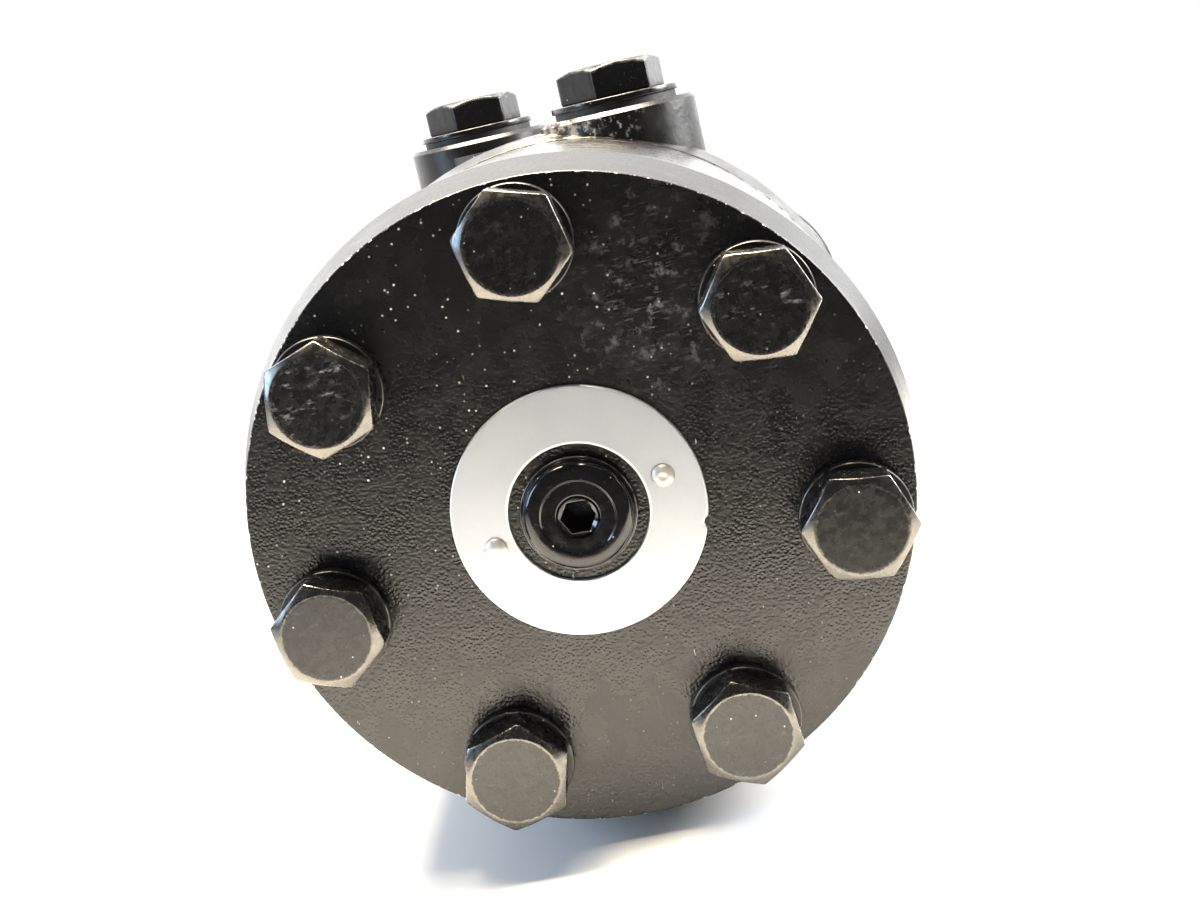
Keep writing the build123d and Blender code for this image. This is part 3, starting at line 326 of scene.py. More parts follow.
def cast_paint():
    """Gloss black over a sand-cast skin, with dry sealant on top of the rear rim and flakes
    round the near port."""
    r = Recipe("cast_black", BLACK, 0.2)
    base = r.tint(r.grain(8, 4), BLACK, SOFT_BLACK)
    sealant = r.span(r.grain(2.2, 5, 0.7), 0.46, 0.56)
    sealant = r.sum("MULTIPLY", sealant, r.near(SEALANT_AT, 13))
    flakes = r.span(r.grain(1.5, 4, 0.7), 0.56, 0.62)
    flakes = r.sum("MULTIPLY", flakes, r.near(FLAKES_AT, 9))
    base = r.tint(r.specks(3.2, 0.09, 0.16), base, DUST)
    base = r.tint(sealant, base, (0.42, 0.37, 0.27))
    r.colour(r.tint(flakes, base, (0.70, 0.70, 0.68)))
    r.roughness(r.span(r.grain(4, 4), 0.3, 0.7, 0.26, 0.36))
    r.relief(r.grain(3.2, 2, 0.5), 0.05)
    r.relief(r.grain(0.8, 2, 0.5), 0.02)
    return r.material


# The tops of the two upper side bolts, the most scratched, in millimetres
LEFT_BOLT = (-33.9, -224.4, 27.1)
RIGHT_BOLT = (33.9, -224.4, 27.1)


BURNISHED = (0.13, 0.125, 0.115)
BARE = (0.50, 0.49, 0.47)
SCRATCH = (0.45, 0.45, 0.46)


def worn_black(name, roughness):
    """Black paint, rubbed to a dark shine where the mesh says it is worn and to bare metal
    on its sharpest edges."""
    r = Recipe(name, BLACK, roughness)
    wear = r.painted("wear")
    ragged = r.span(r.grain(0.9, 5, 0.75), 0.3, 0.7, -0.22, 0.22)
    shine = r.span(r.sum("ADD", wear, r.sum("MULTIPLY", ragged, 0.35)), 0.20, 0.30)
    edge = r.span(r.sum("ADD", wear, ragged), 0.86, 0.98)
    smudge_place = r.warp((1, 1, 2.2), (0, radians(35), 0))
    smudge = r.span(r.grain(2.8, 6, 0.78, smudge_place), 0.54, 0.74, 0.0, 0.10)
    base = r.tint(r.grain(3, 3), BLACK, SOFT_BLACK)
    right = r.sum("MULTIPLY", r.near(RIGHT_BOLT, 10), 0.5)
    rubbed = r.sum("MAXIMUM", r.near(LEFT_BOLT, 12), right)
    smudge = r.sum("MULTIPLY", smudge, r.span(rubbed, 0.0, 0.5, 1.0, 8.0))
    base = r.tint(smudge, base, SCRATCH)
    base = r.tint(r.specks(1.3, 0.12, 0.2), base, DUST)
    base = r.tint(shine, base, BURNISHED)
    r.colour(r.tint(edge, base, BARE))
    r.metal(shine)
    r.roughness(r.span(r.grain(1.7, 5, 0.7), 0.3, 0.7, roughness * 0.7, roughness * 1.3))
    r.relief(r.grain(0.8, 4, 0.6), 0.012)
    return r.material


def plate_metal():
    """Matt aluminium sheet, brighter on its rubbed edges."""
    r = Recipe("plate_aluminium", (0.38, 0.40, 0.43), 0.42, metallic=0.85)
    fine = r.grain(0.35, 3, 0.7)
    cloud = r.grain(7, 4, 0.6)
    sheet = r.tint(cloud, (0.40, 0.435, 0.485), (0.46, 0.48, 0.52))
    r.colour(r.tint(r.painted("wear"), sheet, (0.86, 0.86, 0.86)))
    r.roughness(r.span(fine, 0.3, 0.7, 0.38, 0.50))
    r.relief(fine, 0.004)
    r.relief(cloud, 0.03)
    return r.material


def bright_metal(name, colour, roughness, metallic=1.0):
    """Ground or pressed steel with fine grinding marks round the axis."""
    r = Recipe(name, colour, roughness, metallic=metallic)
    lines = r.grain(0.5, 3, 0.6, r.warp((0.12, 1, 0.12)))
    shade = tuple(part * 0.72 for part in colour)
    r.colour(r.tint(r.span(r.grain(5, 5), 0.3, 0.7), colour, shade))
    r.roughness(r.span(lines, 0.3, 0.7, roughness * 0.8, roughness * 1.3))
    r.relief(lines, 0.003)
    return r.material


def gloss_black(name, roughness, depth_mm=0.01):
    """A gloss black with light handling marks, wavy by that depth."""
    r = Recipe(name, BLACK, roughness)
    scratch_place = r.warp((1, 6, 1), (0.4, 0.9, 0.3))
    scratches = r.span(r.grain(0.9, 5, 0.75, scratch_place), 0.60, 0.78, 0.0, 0.25)
    base = r.tint(scratches, BLACK, (0.30, 0.30, 0.31))
    base = r.tint(r.specks(1.6, 0.09, 0.15), base, DUST)
    patches = r.span(r.grain(2, 4), 0.3, 0.6)
    rubbed = r.sum("MULTIPLY", r.span(r.painted("wear"), 0.3, 0.9), patches)
    r.colour(r.tint(rubbed, base, (0.16, 0.15, 0.14)))
    r.roughness(r.span(r.grain(2, 4), 0.3, 0.7, roughness * 0.7, roughness * 1.4))
    r.relief(r.grain(1.4, 3), 0.01)
    r.relief(r.grain(6.0, 2), depth_mm)
    return r.material


def plain_seal(name, colour, roughness):
    """Rubber or filled polymer with a fine dull grain."""
    r = Recipe(name, colour, roughness)
    lighter = tuple(part * 1.5 for part in colour)
    r.colour(r.tint(r.grain(1.2, 4), colour, lighter))
    r.roughness(r.span(r.grain(0.6, 3), 0.3, 0.7, roughness * 0.85, roughness * 1.1))
    r.relief(r.grain(0.3, 3), 0.008)
    return r.material


MATERIALS = {
    "wrinkle_black": wrinkle_paint(),
    "stack_paint": turned_paint(),
    "cast_black": cast_paint(),
    "bolt_black": worn_black("bolt_black", 0.26),
    "washer_black": worn_black("washer_black", 0.34),
    "plate_aluminium": plate_metal(),
    "rivet_aluminium": bright_metal("rivet_aluminium", (0.62, 0.61, 0.58), 0.38, 0.45),
    "plug_black": gloss_black("plug_black", 0.12),
    "port_plug_black": gloss_black("port_plug_black", 0.2, 0.12),
    "black_rubber": plain_seal("black_rubber", (0.012, 0.012, 0.012), 0.6),
    "seal_polymer": plain_seal("seal_polymer", (0.30, 0.24, 0.15), 0.5),
    "bearing_steel": bright_metal("bearing_steel", (0.30, 0.30, 0.31), 0.2),
    "cage_steel": bright_metal("cage_steel", (0.22, 0.22, 0.22), 0.34),
    "ground_steel": bright_metal("ground_steel", (0.20, 0.20, 0.205), 0.30),
}

slot_of = {row["node"]: row["material_slot"] for row in frame["record"]["subparts"]}


def finish_cad_nodes():
    """Every carried-over node gets the material of its slot."""
    for name, node in frame["nodes"].items():
        node.data.materials.clear()
        node.data.materials.append(MATERIALS[slot_of[name]])


finish_cad_nodes()


# ---- Mesh building ----------------------------------------------------------------------

SEGMENTS = 192
SHARP_FROM = radians(50)
# Local z points out of the end cover, local x along +X and local y along +Z
REARWARDS = Matrix(((1, 0, 0, 0), (0, 0, -1, 0), (0, 1, 0, 0), (0, 0, 0, 1)))


def place_on_cover(x, z, y):
    """From local coordinates to the row frame, with the local origin at that point."""
    return Matrix.Translation((x, y, z)) @ REARWARDS


def turn_outwards(mesh):
    """Turns every face of a closed mesh outwards."""
    made = bmesh.new()
    made.from_mesh(mesh)
    bmesh.ops.recalc_face_normals(made, faces=made.faces)
    made.to_mesh(mesh)
    made.free()


def mesh_from_rings(name, rings, place, closed=False):
    """A skin over rings of (radius, height, wear) samples, each ring with as many of them,
    at even turns. A closed one joins its last ring to its first; in any other, a fan fills
    each end."""
    count = len(rings[0])
    points, wear, faces = [], [], []
    for ring in rings:
        for number, (radius, height, worn) in enumerate(ring):
            turn = 2 * pi * number / count
            points.append(place @ Vector((radius * cos(turn), radius * sin(turn), height)))
            wear.append(worn)
    pairs = list(zip(range(len(rings)), range(1, len(rings))))
    if closed:
        pairs.append((len(rings) - 1, 0))
    for lower, upper in pairs:
        for a in range(count):
            b = (a + 1) % count
            faces.append(
                (lower * count + a, lower * count + b, upper * count + b, upper * count + a)
            )
    if not closed:
        for row in (0, len(rings) - 1):
            middle = sum(height for _, height, _ in rings[row]) / count
            points.append(place @ Vector((0, 0, middle)))
            wear.append(0.0)
            hub = len(points) - 1
            for a in range(count):
                faces.append((row * count + a, row * count + (a + 1) % count, hub))
    mesh = bpy.data.meshes.new(name)
    mesh.from_pydata(points, [], faces)
    turn_outwards(mesh)
    layer = mesh.attributes.new("wear", "FLOAT", "POINT")
    layer.data.foreach_set("value", wear)
    return mesh


def piece_from_rings(name, rings, place, body, slot, stands_for, closed=False):
    """A piece whose skin is laid over rings."""
    mesh = mesh_from_rings(name, rings, place, closed)
    return make_piece(name, mesh, body, slot, stands_for)


def bored(mesh, holes):
    """The mesh with round holes cut into it, each given by x, z, radius and the heights of
    its two ends above the cover face, in millimetres."""
    cutter_mesh = bpy.data.meshes.new("cutter")
    made = bmesh.new()
    for x, z, radius, low, high in holes:
        middle = place_on_cover(x * MM, z * MM, FACE_Y) @ Matrix.Translation(
            (0, 0, (low + high) / 2 * MM)
        )
        bmesh.ops.create_cone(
            made,
            cap_ends=True,
            segments=48,
            radius1=radius * MM,
            radius2=radius * MM,
            depth=(high - low) * MM,
            matrix=middle,
        )
    made.to_mesh(cutter_mesh)
    made.free()
    blank = bpy.data.objects.new("blank", mesh)
    cutter = bpy.data.objects.new("cutter", cutter_mesh)
    for part in (blank, cutter):
        bpy.context.scene.collection.objects.link(part)
    cut = blank.modifiers.new("holes", "BOOLEAN")
    cut.operation = "DIFFERENCE"
    cut.solver = "EXACT"
    cut.object = cutter
    graph = bpy.context.evaluated_depsgraph_get()
    result = bpy.data.meshes.new_from_object(blank.evaluated_get(graph))
    result.name = mesh.name + "_bored"
    for part in (blank, cutter):
        bpy.data.objects.remove(part)
    for spent in (mesh, cutter_mesh):
        bpy.data.meshes.remove(spent)
    return result


def make_piece(name, mesh, body, slot, stands_for):
    """Puts a mesh in the scene as a piece of that body, with the finish of that slot."""
    mesh.materials.clear()
    mesh.materials.append(MATERIALS[slot])
    mesh.shade_smooth()
    mesh.set_sharp_from_angle(angle=SHARP_FROM)
    piece = bpy.data.objects.new(name, mesh)
    bpy.context.scene.collection.objects.link(piece)
    weighted = piece.modifiers.new("weighted", "WEIGHTED_NORMAL")
    weighted.keep_sharp = True
    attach(piece, body)
    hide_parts(*stands_for)
    return piece


def rounded(corners, steps=4):
    """An outline of (radius, height) points from (radius, height, rounding) corners."""
    outline = []
    last = len(corners) - 1
    for number, (radius, height, rounding) in enumerate(corners):
        corner = Vector((radius, height))
        if rounding == 0:
            outline.append((radius, height))
            continue
        before = Vector(corners[number - 1][:2]) - corner
        after = Vector(corners[0 if number == last else number + 1][:2]) - corner
        opening = before.angle(after)
        along = rounding / tan(opening / 2)
        start = corner + before.normalized() * along
        end = corner + after.normalized() * along
        for step in range(steps + 1):
            share = step / steps
            bow = 2 * share * (1 - share)
            straight = start * (1 - share) ** 2 + end * share**2
            outline.append(tuple(straight + corner * bow))
    return outline


def lathe_rings(outline, wear_at=()):
    """Round rings through the outline's points, worn near the given points."""
    rings = []
    for radius, height in outline:
        worn = 0.0
        for centre, reach in wear_at:
            distance = hypot(radius - centre[0], height - centre[1])
            worn = max(worn, 1 - distance / reach)
        rings.append([(radius, height, worn)] * SEGMENTS)
    return rings


def scaled(rings):
    """Rings given in millimetres, in metres."""
    return [[(r * MM, h * MM, w) for r, h, w in ring] for ring in rings]


# ---- Sizes from the frame ---------------------------------------------------------------

cover_low, cover_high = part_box("end_cover")
FACE_Y = cover_low.y
COVER_R_MM = cover_high.x / MM
COVER_WIDTH_MM = (cover_high.y - cover_low.y) / MM
WASHER_R_MM = 9.0
WASHER_MM = (FACE_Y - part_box("bolt_washers")[0].y) / MM
BOLT_RING_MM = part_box("bolt_washers")[1].z / MM - WASHER_R_MM
HEAD_TOP_MM = (FACE_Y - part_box("cover_bolts")[0].y) / MM
BOLT_END_MM = (FACE_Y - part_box("cover_bolts")[1].y) / MM
PLATE_R_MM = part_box("nameplate")[1].x / MM
PLATE_MM = (FACE_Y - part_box("nameplate")[0].y) / MM

BOLT_COUNT = 7
FIRST_BOLT = 90.0
HEAD_TURNS = (-17, 20, -20, 16, -24, -8, -6)
HEAD_APOTHEM = 8.0
HEAD_TOP_R = 7.3
SHANK_R = 5.0
SHANK_SLACK = 0.25
THREAD_R = 4.2
THREAD_MM = 24.0
THREAD_TIP_R = 3.4
THREAD_TIP_MM = 1.0


def about_axis(radius, degrees):
    """The x and z of a point that far from the motor's axis, at that angle from +X."""
    return radius * cos(radians(degrees)), radius * sin(radians(degrees))


BOLT_PLACES = [
    about_axis(BOLT_RING_MM, FIRST_BOLT + number * 360 / BOLT_COUNT)
    for number in range(BOLT_COUNT)
]


def hexagon(turn, apothem, sharpness=80):
    """Radius of a hexagon with slightly soft corners, at that turn from one of its
    corners."""
    total = sum(max(0.0, cos(turn - pi / 6 - k * pi / 3)) ** sharpness for k in range(6))
    return apothem / total ** (1 / sharpness)


def hexagon_samples(turn, apothem):
    """The angle of each sample of a ring and the hexagon's radius there."""
    angles = [2 * pi * number / SEGMENTS for number in range(SEGMENTS)]
    return [(angle, hexagon(angle - turn, apothem)) for angle in angles]


# The slope that the corners of a hexagon head are turned off at
HEAD_SLOPE = tan(radians(30))
HEAD_DISH = 0.04
HEAD_EDGE = 0.16
HEAD_FOOT = 0.15
# Dents in the rim: the noise they start from, their depth in millimetres per unit of noise,
# how closely they keep to the corners and how far apart the noise of two heads lies
DENT_FROM = 0.15
DENT_DEPTH = 0.35
DENT_SHARPNESS = 12
DENT_SEED_STEP = 17.3


def head_rings(apothem, base, top, top_r, turn, seed):
    """Rings of a hexagon head in millimetres, from the middle of its top down to its base,
    its corners turned off at 30 degrees. Worn towards the edges, and dented a little."""
    corner_r = apothem / cos(radians(30))
    samples = hexagon_samples(turn, apothem)
    rings = []
    for share, drop in ((0.3, HEAD_DISH), (0.6, HEAD_DISH), (0.88, HEAD_DISH * 0.6)):
        rings.append([(top_r * share, top - drop, 0.0)] * SEGMENTS)
    rings.append([(top_r - HEAD_EDGE, top, 0.35)] * SEGMENTS)
    rings.append([(top_r, top - 0.02, 0.6)] * SEGMENTS)
    for share in (0.12, 0.4, 0.7, 0.93):
        rings.append([])
        for _, edge in samples:
            radius = top_r + share * (edge - top_r)
            height = top - (radius - top_r) * HEAD_SLOPE
            rings[-1].append((radius, height, 0.30 + 0.45 * share))
    for drop, worn in ((0.05, 0.95), (0.22, 0.75), (0.7, 0.1)):
        rings.append([])
        for angle, edge in samples:
            place = Vector((edge * cos(angle), edge * sin(angle), seed * DENT_SEED_STEP)) * 0.5
            dent = max(0.0, noise.noise(place) - DENT_FROM) * DENT_DEPTH
            dent *= (edge / corner_r) ** DENT_SHARPNESS
            height = top - (edge - top_r) * HEAD_SLOPE - drop - dent
            rings[-1].append((edge - dent * 0.5, height, worn))
    for height in (base + 0.3 * (top - base), base + 0.2):
        rings.append([])
        for _, edge in samples:
            rings[-1].append((edge, height, 0.55 * (edge / corner_r) ** 40))
    rings.append([(edge - HEAD_FOOT, base, 0.2) for _, edge in samples])
    return rings


def make_bolts():
    """Seven cover bolts, each with its own turn and dents."""
    for number, ((x, z), turn) in enumerate(zip(BOLT_PLACES, HEAD_TURNS), 1):
        rings = head_rings(
            HEAD_APOTHEM, WASHER_MM, HEAD_TOP_MM, HEAD_TOP_R, radians(turn), number
        )
        for radius, height in (
            (SHANK_R, WASHER_MM),
            (SHANK_R, BOLT_END_MM + THREAD_MM),
            (THREAD_R, BOLT_END_MM + THREAD_MM),
            (THREAD_R, BOLT_END_MM + THREAD_TIP_MM),
            (THREAD_TIP_R, BOLT_END_MM),
        ):
            rings.append([(radius, height, 0.0)] * SEGMENTS)
        piece_from_rings(
            f"cover_bolt_{number}",
            scaled(rings),
            place_on_cover(x * MM, z * MM, FACE_Y),
            "casing",
            "bolt_black",
            ["cover_bolts"],
        )


def make_washers():
    """A washer under each bolt head."""
    outline = rounded(
        [
            (SHANK_R + SHANK_SLACK, 0.0, 0.0),
            (WASHER_R_MM, 0.0, 0.12),
            (WASHER_R_MM, WASHER_MM, 0.35),
            (SHANK_R + SHANK_SLACK, WASHER_MM, 0.0),
        ]
    )
    rings = lathe_rings(outline, [((WASHER_R_MM, WASHER_MM), 0.22)])
    for number, (x, z) in enumerate(BOLT_PLACES, 1):
        piece_from_rings(
            f"bolt_washer_{number}",
            scaled(rings),
            place_on_cover(x * MM, z * MM, FACE_Y),
            "casing",
            "washer_black",
            ["bolt_washers"],
            closed=True,
        )


# Nameplate, its rivets and the drain plug, all centred on the cover
PLATE_BORE_R = 11.15
PLATE_MIDDLE_R = 15.8
PLATE_PLAIN_MM = 4.4
PLATE_WAVE = 0.05
NICK_TURN = radians(-16)
NICK_DEPTH = 0.7
NICK_SPREAD = 0.035
RIVET_PLACES = [about_axis(14.5, degrees) for degrees in (12.5, 192.5)]
RIVET_HEAD_R = 1.85
RIVET_R = 1.2
RIVET_SLACK = 0.05
RIVET_BRIM = 0.2
RIVET_TIP = 0.3
RIVET_DIMPLES = (0.34, 0.06)
DIMPLE_SPREAD = 0.30
RIVET_TOP_MM = (FACE_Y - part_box("nameplate_rivets")[0].y) / MM
RIVET_END_MM = (FACE_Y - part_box("nameplate_rivets")[1].y) / MM
DRAIN_TOP_MM = (FACE_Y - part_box("drain_plug")[0].y) / MM
DRAIN_END_MM = (FACE_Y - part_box("drain_plug")[1].y) / MM
DRAIN_COLLAR_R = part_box("drain_plug")[1].x / MM
DRAIN_COLLAR_MM = 1.5
DRAIN_DOME_R = 8.85
DRAIN_BODY_R = 6.2
DRAIN_TIP = 0.8
DRAIN_DISH_R = 6.05
DRAIN_DISH = 0.25
SOCKET_MOUTH_R = 3.1
SOCKET_APOTHEM = 2.5
SOCKET_TURN = radians(-2)
SOCKET_SLOPE = 0.8
SOCKET_MM = 5.5

# The end cover: its bore for the drain plug, its rim and the groove at its back
COVER_BORE_R = 4.0
COVER_THREAD_R = 6.25
COVER_THREAD_MM = 12.0
PLUG_SEAT_R = 8.4
PLUG_SEAT_MM = 1.9
FACE_EDGE = 2.5
RIM_SLOPE = ((2.3, 0.8), (1.9, 2.2))
RIM_MM = 9.2
RIM_ROUNDING = 0.8
BACK_CHAMFER = 0.3
GROOVE_OUTER_R = 52.4
GROOVE_INNER_R = 50.0
GROOVE_MM = 1.5
# Drills start above the face and end behind what they go through
DRILL_START = 1.0
RIVET_HOLE_MM = 5.0


def make_cover():
    """The end cover with a softened rim, its bores and its bolt and rivet holes."""
    back = -COVER_WIDTH_MM
    outline = rounded(
        [
            (COVER_BORE_R, back, 0.0),
            (COVER_BORE_R, -COVER_THREAD_MM, 0.0),
            (COVER_THREAD_R, -COVER_THREAD_MM, 0.0),
            (COVER_THREAD_R, -PLUG_SEAT_MM, 0.0),
            (PLUG_SEAT_R, -PLUG_SEAT_MM, 0.0),
            (PLUG_SEAT_R, 0.0, 0.15),
            *((radius, 0.0, 0.0) for radius in (18.0, 38.0, 50.5, 52.2)),
            (COVER_R_MM - FACE_EDGE, 0.0, 0.35),
            *((COVER_R_MM - inset, -drop, 0.0) for inset, drop in RIM_SLOPE),
            (COVER_R_MM, -RIM_MM, RIM_ROUNDING),
            (COVER_R_MM, back + BACK_CHAMFER, 0.0),
            (COVER_R_MM - BACK_CHAMFER, back, 0.0),
            (GROOVE_OUTER_R, back, 0.0),
            (GROOVE_OUTER_R, back + GROOVE_MM, 0.0),
            (GROOVE_INNER_R, back + GROOVE_MM, 0.0),
            (GROOVE_INNER_R, back, 0.0),
        ]
    )
    # The outer edge of the face is marked worn: the chips there are partly a painted highlight
    # line along that edge
    rings = lathe_rings(outline, [((COVER_R_MM - FACE_EDGE, 0.0), 0.6)])
    mesh = mesh_from_rings("cover_shell", scaled(rings), place_on_cover(0, 0, FACE_Y), True)
    bolt_hole = (SHANK_R + SHANK_SLACK, back - 1, DRILL_START)
    rivet_hole = (RIVET_R + RIVET_SLACK, -RIVET_HOLE_MM, DRILL_START)
    holes = [(x, z, *bolt_hole) for x, z in BOLT_PLACES]
    holes += [(x, z, *rivet_hole) for x, z in RIVET_PLACES]
    mesh = bored(mesh, holes)
    make_piece("cover_shell", mesh, "casing", "wrinkle_black", ["end_cover"])


def make_nameplate():
    """A thin ring of sheet with soft edges, a nick in its rim and a hole for each rivet."""
    outline = rounded(
        [
            (PLATE_BORE_R, 0.0, 0.0),
            (PLATE_BORE_R, PLATE_MM, 0.22),
            *(
                (radius, PLATE_MM, 0.0)
                for radius in (PLATE_BORE_R + 0.5, 12.4, 16.6, PLATE_R_MM - 1.0)
            ),
            (PLATE_R_MM, PLATE_MM, 0.28),
            (PLATE_R_MM, 0.0, 0.0),
        ]
    )
    rings = []
    for radius, height in outline:
        worn = 1.0 if abs(radius - PLATE_MIDDLE_R) > PLATE_PLAIN_MM else 0.0
        depth = NICK_DEPTH if radius > PLATE_R_MM - 0.5 else 0.0
        rings.append([])
        for number in range(SEGMENTS):
            turn = 2 * pi * number / SEGMENTS
            away = (turn - NICK_TURN + pi) % (2 * pi) - pi
            bite = depth * exp(-((away / NICK_SPREAD) ** 2))
            wave = PLATE_WAVE * noise.noise(Vector((cos(turn), sin(turn), 0)) * 3.1)
            rings[-1].append((radius - bite - abs(wave), height, worn))
    mesh = mesh_from_rings("name_ring", scaled(rings), place_on_cover(0, 0, FACE_Y), True)
    mesh = bored(mesh, [(x, z, RIVET_R + RIVET_SLACK, -1.0, 2.0) for x, z in RIVET_PLACES])
    make_piece("name_ring", mesh, "casing", "plate_aluminium", ["nameplate"])


def make_rivets():
    """Two domed drive rivets; the first one has the mark of the punch."""
    brim = PLATE_MM + RIVET_BRIM
    for number, ((x, z), dimple) in enumerate(zip(RIVET_PLACES, RIVET_DIMPLES), 1):
        height = RIVET_TOP_MM - PLATE_MM
        profile = []
        for share in (0.12, 0.25, 0.4, 0.55, 0.7, 0.85, 0.95):
            dip = dimple * exp(-((share / DIMPLE_SPREAD) ** 2))
            lift = (height - RIVET_BRIM) * (1 - share**2) ** 0.8
            profile.append((RIVET_HEAD_R * share, brim + lift - dip))
        profile += [
            (RIVET_HEAD_R, brim),
            (RIVET_HEAD_R, PLATE_MM + 0.05),
            (RIVET_HEAD_R - 0.1, PLATE_MM),
            (RIVET_R, PLATE_MM),
            (RIVET_R, RIVET_END_MM + RIVET_TIP),
            (RIVET_R - RIVET_TIP, RIVET_END_MM),
        ]
        piece_from_rings(
            f"plate_rivet_{number}",
            scaled(lathe_rings(profile)),
            place_on_cover(x * MM, z * MM, FACE_Y),
            "casing",
            "rivet_aluminium",
            ["nameplate_rivets"],
        )


def make_drain_plug():
    """A domed plug with a collar, a shallow dish and a hexagon socket."""
    top = DRAIN_TOP_MM
    mouth = top - DRAIN_DISH
    profile = rounded(
        [
            (DRAIN_BODY_R - DRAIN_TIP, DRAIN_END_MM, 0.0),
            (DRAIN_BODY_R, DRAIN_END_MM + DRAIN_TIP, 0.0),
            (DRAIN_BODY_R, 0.0, 0.0),
            (DRAIN_COLLAR_R, 0.0, 0.15),
            (DRAIN_COLLAR_R, DRAIN_COLLAR_MM, 0.45),
            (DRAIN_DOME_R, DRAIN_COLLAR_MM, 0.12),
            (DRAIN_DOME_R, top, 2.0),
            (DRAIN_DISH_R, top, 0.12),
            (DRAIN_DISH_R - DRAIN_DISH, mouth, 0.12),
            (4.6, mouth, 0.0),
            (SOCKET_MOUTH_R + 0.25, mouth, 0.3),
        ],
        steps=8,
    )
    rings = lathe_rings(profile, [((DRAIN_COLLAR_R, DRAIN_COLLAR_MM), 0.5)])
    rings.append([(SOCKET_MOUTH_R, mouth - 0.03, 0.0)] * SEGMENTS)
    samples = hexagon_samples(SOCKET_TURN, SOCKET_APOTHEM)
    for drop, worn in ((0.0, 0.8), (0.35, 0.2)):
        rings.append([])
        for _, radius in samples:
            sink = (SOCKET_MOUTH_R - radius) * SOCKET_SLOPE
            rings[-1].append((radius, mouth - sink - drop, worn))
    rings.append([(radius, mouth - SOCKET_MM, 0.0) for _, radius in samples])
    piece_from_rings(
        "drain_plug_body",
        scaled(rings),
        place_on_cover(0, 0, FACE_Y),
        "casing",
        "plug_black",
        ["drain_plug"],
    )


# Port plugs, drawn upwards from the motor's axis
PORT_PLUG_TURN = radians(14)
PORT_HEX_APOTHEM = 9.5
PORT_HEX_TOP_R = 9.1
PORT_COLLAR_MM = 1.3
PORT_THREAD_R = 9.45
PORT_THREAD_TIP = 0.8
PORT_DENT_SEEDS = {"a": 11, "b": 12}


def make_port_plugs():
    """Hexagon plugs, each with a thin collar, in the two ports."""
    seal_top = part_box("port_plug_seals")[1].z / MM
    collar_top = seal_top + PORT_COLLAR_MM
    for letter, seed in PORT_DENT_SEEDS.items():
        low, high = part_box(f"port_plug_{letter}")
        middle = (low + high) / 2
        bottom, top = low.z / MM, high.z / MM
        collar_r = (high.x - low.x) / 2 / MM
        rings = head_rings(
            PORT_HEX_APOTHEM,
            collar_top + 0.15,
            top,
            PORT_HEX_TOP_R,
            PORT_PLUG_TURN,
            seed,
        )
        collar = rounded(
            [
                (PORT_HEX_APOTHEM * 1.16, collar_top, 0.0),
                (collar_r, collar_top, 0.3),
                (collar_r, seal_top, 0.3),
                (PORT_THREAD_R, seal_top, 0.0),
                (PORT_THREAD_R, bottom + PORT_THREAD_TIP, 0.0),
                (PORT_THREAD_R - PORT_THREAD_TIP, bottom, 0.0),
            ]
        )
        rings += lathe_rings(collar, [((collar_r, collar_top), 0.35)])
        piece_from_rings(
            f"port_hex_plug_{letter}",
            scaled(rings),
            Matrix.Translation((middle.x, middle.y, 0)),
            "casing",
            "port_plug_black",
            [f"port_plug_{letter}"],
        )


make_cover()
make_bolts()
make_washers()
make_nameplate()
make_rivets()
make_drain_plug()
make_port_plugs()


# ---- Stage ------------------------------------------------------------------------------

PAPER = (0.93, 0.92, 0.90)
PAPER_SHADE = (0.90, 0.90, 0.89)
# The floor's front edge lies this far in front of the cover. It slants forwards to the left
# of one x and steps back to the right of it, up to another.
FLOOR_SIDE = 3.0
FLOOR_FRONT = 0.13
FLOOR_SLANT = 1.8
FLOOR_SLANT_X = 0.03
FLOOR_STEP = 0.06
FLOOR_STEP_X = 0.2
FLOOR_GAP = 0.0002


def make_floor():
    """A plain pale table top under the motor, which ends a little in front of it."""
    z = cad_low.z - FLOOR_GAP
    front = FACE_Y - FLOOR_FRONT
    mesh = bpy.data.meshes.new("floor")
    points = [
        (-FLOOR_SIDE, front - FLOOR_SLANT, z),
        (FLOOR_SLANT_X, front, z),
        (FLOOR_STEP_X, front + FLOOR_STEP, z),
        (FLOOR_SIDE, front + FLOOR_STEP, z),
        (FLOOR_SIDE, FLOOR_SIDE, z),
        (-FLOOR_SIDE, FLOOR_SIDE, z),
    ]
    mesh.from_pydata(points, [], [(0, 1, 2, 3, 4, 5)])
    floor = bpy.data.objects.new("floor", mesh)
    recipe = Recipe("floor_paper", PAPER, 0.9)
    recipe.colour(recipe.tint(recipe.grain(40, 3), PAPER, PAPER_SHADE))
    mesh.materials.append(recipe.material)
    bpy.context.scene.collection.objects.link(floor)


# Name, place, point it faces, size, watts, colour and spread in degrees of each light
LIGHTS = (
    ("top_soft", (-0.04, -0.12, 0.5), (-0.04, -0.2, 0.0), (0.4, 0.3), 5.3, (1.0, 0.85, 0.64), 80),
    ("right_fill", (0.38, -0.1, 0.16), (0.08, -0.16, -0.05), (0.2, 0.2), 3.5, (1, 1, 1), 180),
    ("left_window", (-0.75, -0.45, 0.3), (0, -0.2, 0), (0.2, 0.4), 4.5, (0.5, 0.7, 1.0), 180),
)


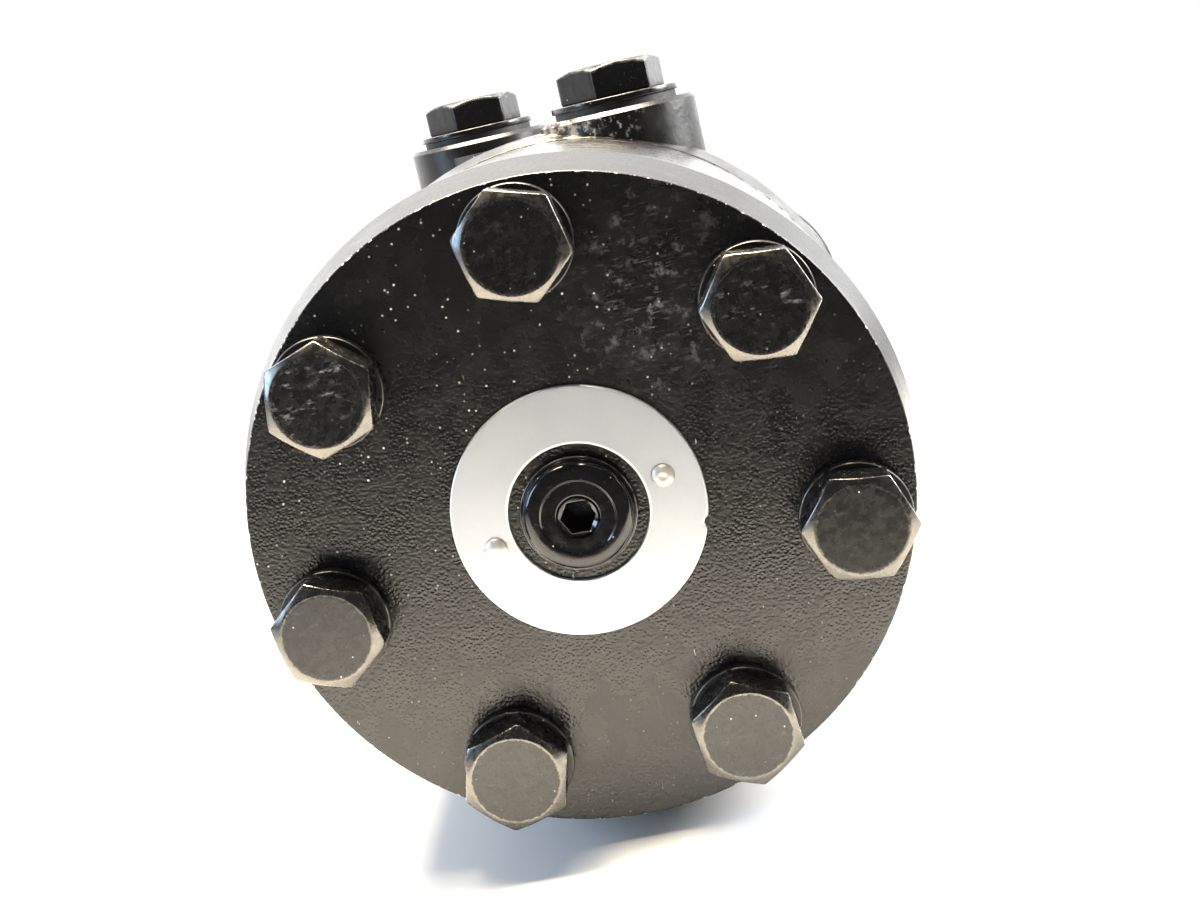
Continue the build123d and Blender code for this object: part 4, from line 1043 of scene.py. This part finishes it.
def area_light(name, at, aim, size, power, colour, spread):
    """A soft rectangular light that faces a point."""
    data = bpy.data.lights.new(name, "AREA")
    data.shape = "RECTANGLE"
    data.size, data.size_y = size
    data.energy = power
    data.color = colour
    data.spread = radians(spread)
    light = bpy.data.objects.new(name, data)
    light.location = at
    light.rotation_mode = "QUATERNION"
    light.rotation_quaternion = (Vector(aim) - Vector(at)).to_track_quat("-Z", "Y")
    bpy.context.scene.collection.objects.link(light)


SHOWN_LIGHT = 1.1
BACK_LIGHT = 2.6
FRONT_LIGHT = 0.12
# As a light, the world goes from dim to bright between these shares of straight back
DIM_TO, BRIGHT_FROM = -0.25, 0.55


def make_world():
    """White to the camera, and as a light a bright room behind the motor and a dim one in
    front of it."""
    world = bpy.data.worlds.new("studio")
    world.use_nodes = True
    tree = world.node_tree
    tree.nodes.clear()
    output = tree.nodes.new("ShaderNodeOutputWorld")
    shown = tree.nodes.new("ShaderNodeBackground")
    shown.inputs["Strength"].default_value = SHOWN_LIGHT
    lit = tree.nodes.new("ShaderNodeBackground")
    for background in (shown, lit):
        background.inputs["Color"].default_value = (1.0, 1.0, 1.0, 1)
    place = tree.nodes.new("ShaderNodeTexCoord")
    split = tree.nodes.new("ShaderNodeSeparateXYZ")
    tree.links.new(place.outputs["Generated"], split.inputs[0])
    span = tree.nodes.new("ShaderNodeMapRange")
    span.interpolation_type = "SMOOTHSTEP"
    span.inputs["From Min"].default_value = DIM_TO
    span.inputs["From Max"].default_value = BRIGHT_FROM
    span.inputs["To Min"].default_value = FRONT_LIGHT
    span.inputs["To Max"].default_value = BACK_LIGHT
    tree.links.new(split.outputs["Y"], span.inputs["Value"])
    tree.links.new(span.outputs["Result"], lit.inputs["Strength"])
    path = tree.nodes.new("ShaderNodeLightPath")
    mix = tree.nodes.new("ShaderNodeMixShader")
    tree.links.new(path.outputs["Is Camera Ray"], mix.inputs["Fac"])
    tree.links.new(lit.outputs["Background"], mix.inputs[1])
    tree.links.new(shown.outputs["Background"], mix.inputs[2])
    tree.links.new(mix.outputs["Shader"], output.inputs["Surface"])
    bpy.context.scene.world = world


make_floor()
make_world()
for light_row in LIGHTS:
    area_light(*light_row)
bpy.context.scene.view_settings.view_transform = "Standard"
